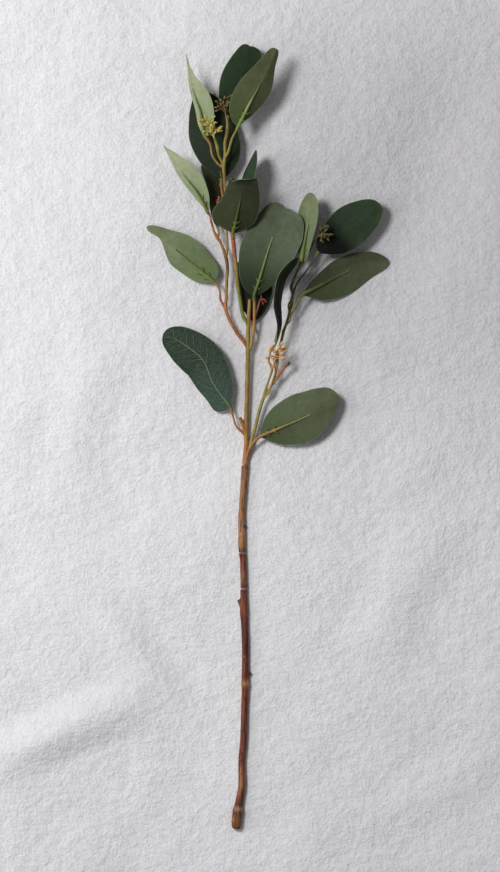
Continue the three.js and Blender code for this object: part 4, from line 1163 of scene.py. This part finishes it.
def spine_path(leaf):
    """Points of the spine glued along the leaf's underside, as [x, y, height, radius]."""
    rib = Rib(leaf["rib"])
    share = SPINE_STATIONS * leaf.get("spine", SPINE_SHARE)
    middle, _, leftward, upward, slope = leaf_frame(leaf, rib, share)
    left = np.cos(slope["left"])[:, None] * upward - np.sin(slope["left"])[:, None] * leftward
    right = np.cos(slope["right"])[:, None] * upward + np.sin(slope["right"])[:, None] * leftward
    crease = unit(left + right)
    mitre = 1 / np.maximum(SHARPEST_FOLD, (crease * left).sum(axis=1))
    side = 1 if "under" in leaf else -1
    half = half_cloth()
    radius = np.interp(SPINE_STATIONS, [0, 1], SPINE_RADIUS)
    drop = (leaf["tilt"][0][0] + leaf["tilt"][1][0]) * side
    lift = radius * SPINE_SEAT
    away = half * mitre + lift if drop <= 0 else (half + lift) * mitre
    return np.hstack([middle + crease * side * away[:, None], radius[:, None]])


def spurs_of(leaf):
    """Small side spurs near the base of the spine."""
    spurs = []
    rib = Rib(leaf["rib"])
    spine = spine_path(leaf)
    for sign in leaf.get("spurs", []):
        for share in SPUR_AT:
            _, forward, leftward, _, _ = leaf_frame(leaf, rib, np.array([share]))
            along = share / leaf.get("spine", SPINE_SHARE)
            root = np.array([np.interp(along, SPINE_STATIONS, spine[:, i]) for i in range(3)])
            tip = root + SPUR_LENGTH * (forward[0] + sign * SPUR_SPREAD * leftward[0])
            spurs.append([[*root, SPUR_RADII[0]], [*tip, SPUR_RADII[1]]])
    return spurs


def new_tree(name, inputs):
    """A Geometry Nodes tree with named inputs, as its graph and the inputs' outputs inside it."""
    tree = bpy.data.node_groups.new(name, "GeometryNodeTree")
    for socket, kind in (("Geometry", "Geometry"), *inputs, ("Material", "Material")):
        tree.interface.new_socket(socket, in_out="INPUT", socket_type=f"NodeSocket{kind}")
    tree.interface.new_socket("Geometry", in_out="OUTPUT", socket_type="NodeSocketGeometry")
    graph = Graph(tree)
    given = tree.nodes.new("NodeGroupInput")
    return graph, {socket.name: Output(graph, socket) for socket in given.outputs}


def stored(graph, name, kind="FLOAT"):
    return graph.node("GeometryNodeInputNamedAttribute", {"data_type": kind}, {"Name": name},
                      out="Attribute")


def tube(graph, curve, sides, thickness):
    """A closed tube along a curve."""
    ring = graph.node("GeometryNodeCurvePrimitiveCircle",
                      inputs={"Resolution": sides, "Radius": 1.0}, out="Curve")
    return graph.node("GeometryNodeCurveToMesh", inputs={
        "Curve": curve, "Profile Curve": ring, "Scale": thickness, "Fill Caps": True})


def ended(graph, geometry, material):
    """Ends a tree with real geometry in its material."""
    real = graph.node("GeometryNodeRealizeInstances", inputs={"Geometry": geometry})
    done = graph.node("GeometryNodeSetMaterial", inputs={"Geometry": real, "Material": material})
    graph.tree.links.new(done.socket, graph.tree.nodes.new("NodeGroupOutput").inputs[0])
    return graph.tree


def limb_tree():
    """Turns lines with a `thickness` into tubes with a seeded relief."""
    graph, take = new_tree("Moulded Limbs", (
        ("Sides", "Int"), ("Relief", "Float"), ("Relief Scale", "Float"), ("Stretch", "Vector"),
        ("Seed", "Float")))
    curve = graph.node("GeometryNodeMeshToCurve", inputs={"Mesh": take["Geometry"]})
    limb = tube(graph, curve, take["Sides"], stored(graph, "thickness"))
    spot = graph.node("GeometryNodeInputPosition")
    drawn = graph.node("ShaderNodeTexNoise", {"noise_dimensions": "4D"}, {
        "Vector": graph.stretched(spot, take["Stretch"]), "W": take["Seed"],
        "Scale": take["Relief Scale"], "Detail": 4.0, "Roughness": 0.6})
    lift = (drawn - 0.5) * take["Relief"] * 2.0
    normal = graph.node("GeometryNodeInputNormal")
    offset = graph.node("ShaderNodeVectorMath", {"operation": "SCALE"},
                        {"Vector": normal, "Scale": lift})
    uneven = graph.node("GeometryNodeSetPosition", inputs={"Geometry": limb, "Offset": offset})
    return ended(graph, uneven, take["Material"])


def add_tree(piece, tree, values):
    """Adds a Geometry Nodes modifier and sets its inputs by the sockets' identifiers."""
    modifier = piece.modifiers.new(tree.name, "NODES")
    modifier.node_group = tree
    for item in tree.interface.items_tree:
        if item.in_out == "INPUT" and item.name in values:
            modifier[item.identifier] = values[item.name]


def bake_mesh(piece):
    """Turns what the modifiers make into the piece's own plain mesh."""
    depsgraph = bpy.context.evaluated_depsgraph_get()
    mesh = bpy.data.meshes.new_from_object(piece.evaluated_get(depsgraph), depsgraph=depsgraph)
    piece.modifiers.clear()
    old = piece.data
    piece.data = mesh
    bpy.data.meshes.remove(old)
    return mesh


def read_vertices(mesh):
    flat = np.empty(len(mesh.vertices) * 3, np.float32)
    mesh.vertices.foreach_get("co", flat)
    return flat.reshape(-1, 3).astype(float)


def paint_from_paths(mesh, paths):
    """Gives each vertex the paint of the limb whose skin it lies on."""
    samples = np.vstack(paths)
    tree = KDTree(len(samples))
    for i, spot in enumerate(samples[:, :3]):
        tree.insert(spot, i)
    tree.balance()
    chosen = []
    for vertex in read_vertices(mesh):
        near = tree.find_n(vertex, NEAR_SAMPLES)
        chosen.append(min(near, key=lambda hit: hit[2] - samples[hit[1], 3])[1])
    rgba = np.hstack([samples[chosen, 4:], np.ones((len(chosen), 1))])
    add_attribute(mesh, "paint", "FLOAT_COLOR", rgba)


def chained(paths):
    """Edges along each path, for the points of all the paths in one list."""
    edges = []
    start = 0
    for path in paths:
        edges += [(i, i + 1) for i in range(start, start + len(path) - 1)]
        start += len(path)
    return edges


def limb_piece(name, limbs, material, relief, pattern, cell, seed, floor=False):
    """Melts painted limbs into one skin. Those that lie on the floor meet others end to end."""
    tree = bpy.data.node_groups.get("Moulded Limbs") or limb_tree()
    paths = []
    for limb in limbs:
        path = smooth_path(limb, PATH_STEPS)
        if not floor:
            path = with_rounded_ends(path)
        paths.append(np.hstack([in_frame(path[:, :3]), path[:, 3:4] * MM, path[:, 4:]]))
    vertices = np.vstack(paths)
    piece = new_mesh_object(name, vertices[:, :3], edges=chained(paths))
    add_attribute(piece.data, "thickness", "FLOAT", vertices[:, 3])
    add_tree(piece, tree, {
        "Sides": settings("spray_moulding").sides, "Relief": relief, "Relief Scale": pattern[0],
        "Stretch": pattern[1], "Seed": float(seed), "Material": material})
    skin = piece.modifiers.new("Skin", "REMESH")
    skin.mode = "VOXEL"
    skin.voxel_size = cell
    skin.use_smooth_shade = True
    mesh = bake_mesh(piece)
    mesh.materials.clear()
    mesh.materials.append(material)
    if floor:
        points = read_vertices(mesh)
        points[:, 2] = np.maximum(points[:, 2], 0)
        mesh.vertices.foreach_set("co", points.astype(np.float32).ravel())
    paint_from_paths(mesh, paths)
    mesh.update()
    return piece


def stalk_limbs(stalks):
    """Each stalk with its spine, then the spurs beside it."""
    limbs = []
    for name, (points, names) in stalks.items():
        leaf = LEAVES[name]
        spine = painted(spine_path(leaf), leaf.get("spine_tones", SPINE_TONES))
        limbs.append(np.vstack([painted(points, names), spine]))
        limbs += [painted(spur, SPUR_TONES) for spur in spurs_of(leaf)]
    return limbs


# Operators

class SPRAY_OT_wire(bpy.types.Operator):
    """Finish the steel wire inside the stem"""
    bl_idname = "spray.wire"
    bl_label = "Steel Wire"

    def execute(self, context):
        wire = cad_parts["wire_core"]
        wire.data.materials.clear()
        wire.data.materials.append(steel_finish())
        return {"FINISHED"}


class SPRAY_OT_stem(bpy.types.Operator):
    """Make the three sections of the thick stem"""
    bl_idname = "spray.stem"
    bl_label = "Stem"

    def execute(self, context):
        moulding = settings("spray_moulding")
        material = bark_finish("moulded_bark")
        for seed, (name, section) in enumerate(STEM_PIECES.items()):
            limbs = [painted([[x, y, STEM_AXIS_HEIGHT, r] for x, y, r in points], names)
                     for points, names in section]
            piece = limb_piece(f"{name}_bark", limbs, material, moulding.bark_height, BARK_PATTERN,
                               moulding.stem_cell, seed, floor=True)
            keep(piece, name)
        return {"FINISHED"}


class SPRAY_OT_sprigs(bpy.types.Operator):
    """Make the leader and the four sprigs, with the stalks and spines of their leaves"""
    bl_idname = "spray.sprigs"
    bl_label = "Leader and Sprigs"

    def execute(self, context):
        moulding = settings("spray_moulding")
        for seed, (name, sprig) in enumerate(SPRIGS.items()):
            material = moulded_finish(f"{name}_plastic")
            limbs = [painted(*strand) for strand in sprig["strands"]]
            limbs += stalk_limbs(sprig["stalks"])
            piece = limb_piece(f"{name}_moulding", limbs, material, moulding.sprig_height,
                               SPRIG_PATTERN, moulding.sprig_cell, SPRIG_SEED + seed,
                               floor=sprig.get("floor", False))
            keep(piece, name)
        return {"FINISHED"}


class SPRAY_OT_leaves(bpy.types.Operator):
    """Make the seventeen cloth leaves"""
    bl_idname = "spray.leaves"
    bl_label = "Leaves"

    def execute(self, context):
        edge = edge_finish()
        for name, leaf in LEAVES.items():
            blade_piece(name, leaf, edge)
        return {"FINISHED"}


def draws(seed):
    """Evenly spread numbers from 0 to 1, the same each run."""
    state = seed * DRAW_START
    while True:
        state = (state * DRAW_FACTOR + DRAW_STEP) % DRAW_RANGE
        yield state / DRAW_RANGE


def bud_lines(cluster):
    """A cluster's core and stalks, as [x, y, height, radius] points, and how each bud faces."""
    sprig, strand = cluster["on"]
    before, end = (np.array(p) for p in SPRIGS[sprig]["strands"][strand][0][-2:])
    forward = unit(end[:3] - before[:3])
    base = end[:3] + forward * BUD_SEAT
    lean = np.array(cluster["lean"], float)
    radius = min(end[3], CORE_RADIUS)
    core = [base - forward * BUD_SEAT * 2, base + forward * CORE_STRAIGHT,
            base + lean * CORE_SHARE]
    lines = [[[*p, radius] for p in core]]
    along = unit(lean)
    level = unit(np.cross(along, [0, 0, 1]))
    lift = np.cross(level, along)
    stalk = settings("spray_buds").stalk / MM
    draw = draws(cluster["seed"])
    outward = []
    for i in range(cluster["count"]):
        turn = i * BUD_TURN + next(draw) * BUD_TURN_DRIFT
        spread = BUD_SPREAD[0] + BUD_SPREAD[1] * next(draw)
        direction = unit(along * math.cos(spread) + level * math.sin(spread) * math.cos(turn)
                         + lift * abs(math.sin(spread) * math.sin(turn)) * BUD_LIFT)
        root = base + lean * ROOTS_SHARE * next(draw)
        tip = root + direction * cluster["reach"] * (BUD_REACH[0] + BUD_REACH[1] * next(draw))
        bend = (root + tip) / 2 + along * STALK_BEND
        lines.append([[*spot, stalk * share]
                      for spot, share in zip((root, bend, tip), STALK_TAPER)])
        outward.append(direction)
    return lines, outward


def bud_tree():
    """Makes stalks of lines with a `thickness`, and a bud at each point with a `bud_size`."""
    graph, take = new_tree("Bud Cluster", (
        ("Stalk Sides", "Int"), ("Bud Sides", "Int"), ("Bud Rings", "Int")))
    tree = graph.tree
    curve = graph.node("GeometryNodeMeshToCurve", inputs={"Mesh": take["Geometry"]})
    stalks = tube(graph, curve, take["Stalk Sides"], stored(graph, "thickness"))
    foot, top = BUD_SPAN
    axis = graph.node("GeometryNodeCurvePrimitiveLine",
                      inputs={"Start": (0.0, 0.0, foot), "End": (0.0, 0.0, top)}, out="Curve")
    axis = graph.node("GeometryNodeResampleCurve", {"mode": "COUNT"},
                      {"Curve": axis, "Count": take["Bud Rings"]})
    factor = graph.node("GeometryNodeSplineParameter", out="Factor")
    profile = tree.nodes.new("ShaderNodeFloatCurve")
    points = profile.mapping.curves[0].points
    for x, y in BUD_PROFILE[1:-1]:
        points.new(x, y)
    for point, (x, y) in zip(points, BUD_PROFILE):
        point.location = (x, y)
    profile.mapping.update()
    tree.links.new(factor.socket, profile.inputs["Value"])
    tone = graph.node("GeometryNodeStoreNamedAttribute", {"data_type": "FLOAT", "domain": "POINT"},
                      {"Geometry": axis, "Name": "tone", "Value": factor})
    bud = tube(graph, tone, take["Bud Sides"], Output(graph, profile.outputs[0]))
    turn = graph.node("FunctionNodeAlignRotationToVector", {"axis": "Z"},
                      {"Vector": stored(graph, "outward", "FLOAT_VECTOR")})
    size = stored(graph, "bud_size")
    chosen = graph.node("FunctionNodeCompare", {"data_type": "FLOAT", "operation": "GREATER_THAN"},
                        {"A": size, "B": 0.0}, out="Result")
    buds = graph.node("GeometryNodeInstanceOnPoints", inputs={
        "Points": take["Geometry"], "Selection": chosen, "Instance": bud, "Rotation": turn,
        "Scale": size})
    both = tree.nodes.new("GeometryNodeJoinGeometry")
    for branch in (buds, stalks):
        tree.links.new(branch.socket, both.inputs[0])
    smooth = graph.node("GeometryNodeSetShadeSmooth", inputs={
        "Geometry": Output(graph, both.outputs[0]), "Shade Smooth": True})
    return ended(graph, smooth, take["Material"])


def bud_piece(name, cluster, tree):
    buds = settings("spray_buds")
    lines, outward = bud_lines(cluster)
    paths = [smooth_path(line, STALK_STEPS) for line in lines]
    spots = np.vstack(paths)
    tips = np.cumsum([len(path) for path in paths])[1:] - 1
    sizes = np.zeros(len(spots))
    sizes[tips] = cluster["bud"] * MM
    facing = np.tile([0.0, 0.0, 1.0], (len(spots), 1))
    facing[tips] = outward
    piece = new_mesh_object(f"{name}_cluster", in_frame(spots[:, :3]), edges=chained(paths))
    add_attribute(piece.data, "thickness", "FLOAT", spots[:, 3] * MM)
    add_attribute(piece.data, "bud_size", "FLOAT", sizes)
    add_attribute(piece.data, "outward", "FLOAT_VECTOR", facing)
    material = bud_finish(f"{name}_plastic", BUD_PAINTS[cluster["paint"]])
    add_tree(piece, tree, {"Stalk Sides": STALK_SIDES, "Bud Sides": buds.sides,
                           "Bud Rings": buds.rings, "Material": material})
    bake_mesh(piece)
    keep(piece, name)


class SPRAY_OT_buds(bpy.types.Operator):
    """Make the six clusters of seed buds"""
    bl_idname = "spray.buds"
    bl_label = "Seed Buds"

    def execute(self, context):
        tree = bud_tree()
        for name, cluster in BUD_CLUSTERS.items():
            bud_piece(name, cluster, tree)
        return {"FINISHED"}


class SPRAY_OT_stage(bpy.types.Operator):
    """Lay the felt, set the lights and hang the camera over the spray"""
    bl_idname = "spray.stage"
    bl_label = "Felt, Lights and Camera"

    def execute(self, context):
        self.lay_felt()
        self.set_lights()
        self.hang_camera()
        return {"FINISHED"}

    @staticmethod
    def lay_felt():
        corners = np.array([[x * FELT_HALF, y * FELT_HALF, FELT_TOP]
                            for x, y in ((-1, -1), (1, -1), (1, 1), (-1, 1))])
        felt = new_mesh_object("felt", corners, [(0, 1, 2, 3)])
        felt.data.materials.append(felt_finish())

    @staticmethod
    def set_lights():
        stage = settings("spray_stage")
        for name, size, spot in LIGHTS:
            light = bpy.data.lights.new(name, "AREA")
            light.shape = "ELLIPSE"
            light.size, light.size_y = size
            light.energy = getattr(stage, f"{name}_power")
            light.color = LIGHT_TINT
            lamp = bpy.data.objects.new(name, light)
            lamp.location = spot
            lamp.rotation_euler = (-lamp.location).to_track_quat("-Z", "Y").to_euler()
            bpy.context.scene.collection.objects.link(lamp)
        world = bpy.data.worlds.new("room")
        world.use_nodes = True
        background = world.node_tree.nodes["Background"]
        background.inputs["Color"].default_value = ROOM_TINT
        background.inputs["Strength"].default_value = stage.fill
        bpy.context.scene.world = world

    @staticmethod
    def hang_camera():
        stage = settings("spray_stage")
        lens = bpy.data.cameras.new("camera")
        camera = bpy.data.objects.new("camera", lens)
        camera.location = (PHOTO_CENTRE[0] * MM, PHOTO_CENTRE[1] * MM, stage.camera_height)
        lens.sensor_width = SENSOR_WIDTH
        lens.lens = lens.sensor_width * stage.camera_height / (PHOTO_PIXELS[1] * MM_PER_PIXEL * MM)
        lens.clip_end = VIEW_END
        bpy.context.scene.collection.objects.link(camera)
        bpy.context.scene.camera = camera
        bpy.context.scene.view_settings.view_transform = "Standard"


OPERATORS = (SPRAY_OT_wire, SPRAY_OT_stem, SPRAY_OT_sprigs, SPRAY_OT_leaves, SPRAY_OT_buds,
             SPRAY_OT_stage)


class SPRAY_PT_panel(bpy.types.Panel):
    """Sizes and colours of the spray, and the steps that make it"""
    bl_idname = "SPRAY_PT_panel"
    bl_label = "Eucalyptus Spray"
    bl_space_type = "VIEW_3D"
    bl_region_type = "UI"
    bl_category = "Spray"

    def draw(self, context):
        for name, group in SETTINGS.items():
            box = self.layout.box()
            box.label(text=group.__doc__)
            for key in group.__annotations__:
                box.prop(getattr(context.scene, name), key)
        for operator in OPERATORS:
            self.layout.operator(operator.bl_idname)


CLASSES = (*SETTINGS.values(), *OPERATORS, SPRAY_PT_panel)


def register():
    for cls in CLASSES:
        bpy.utils.register_class(cls)
    for name, group in SETTINGS.items():
        setattr(bpy.types.Scene, name, bpy.props.PointerProperty(type=group))


def unregister():
    for name in SETTINGS:
        delattr(bpy.types.Scene, name)
    for cls in reversed(CLASSES):
        bpy.utils.unregister_class(cls)


def write_sizes():
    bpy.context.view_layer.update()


def main():
    register()
    for name in RESTING_LEAVES:
        settle(LEAVES[name])
    bpy.ops.spray.wire()
    bpy.ops.spray.stem()
    bpy.ops.spray.sprigs()
    bpy.ops.spray.leaves()
    bpy.ops.spray.buds()
    bpy.ops.spray.stage()
    write_sizes()


if __name__ == "__main__":
    main()
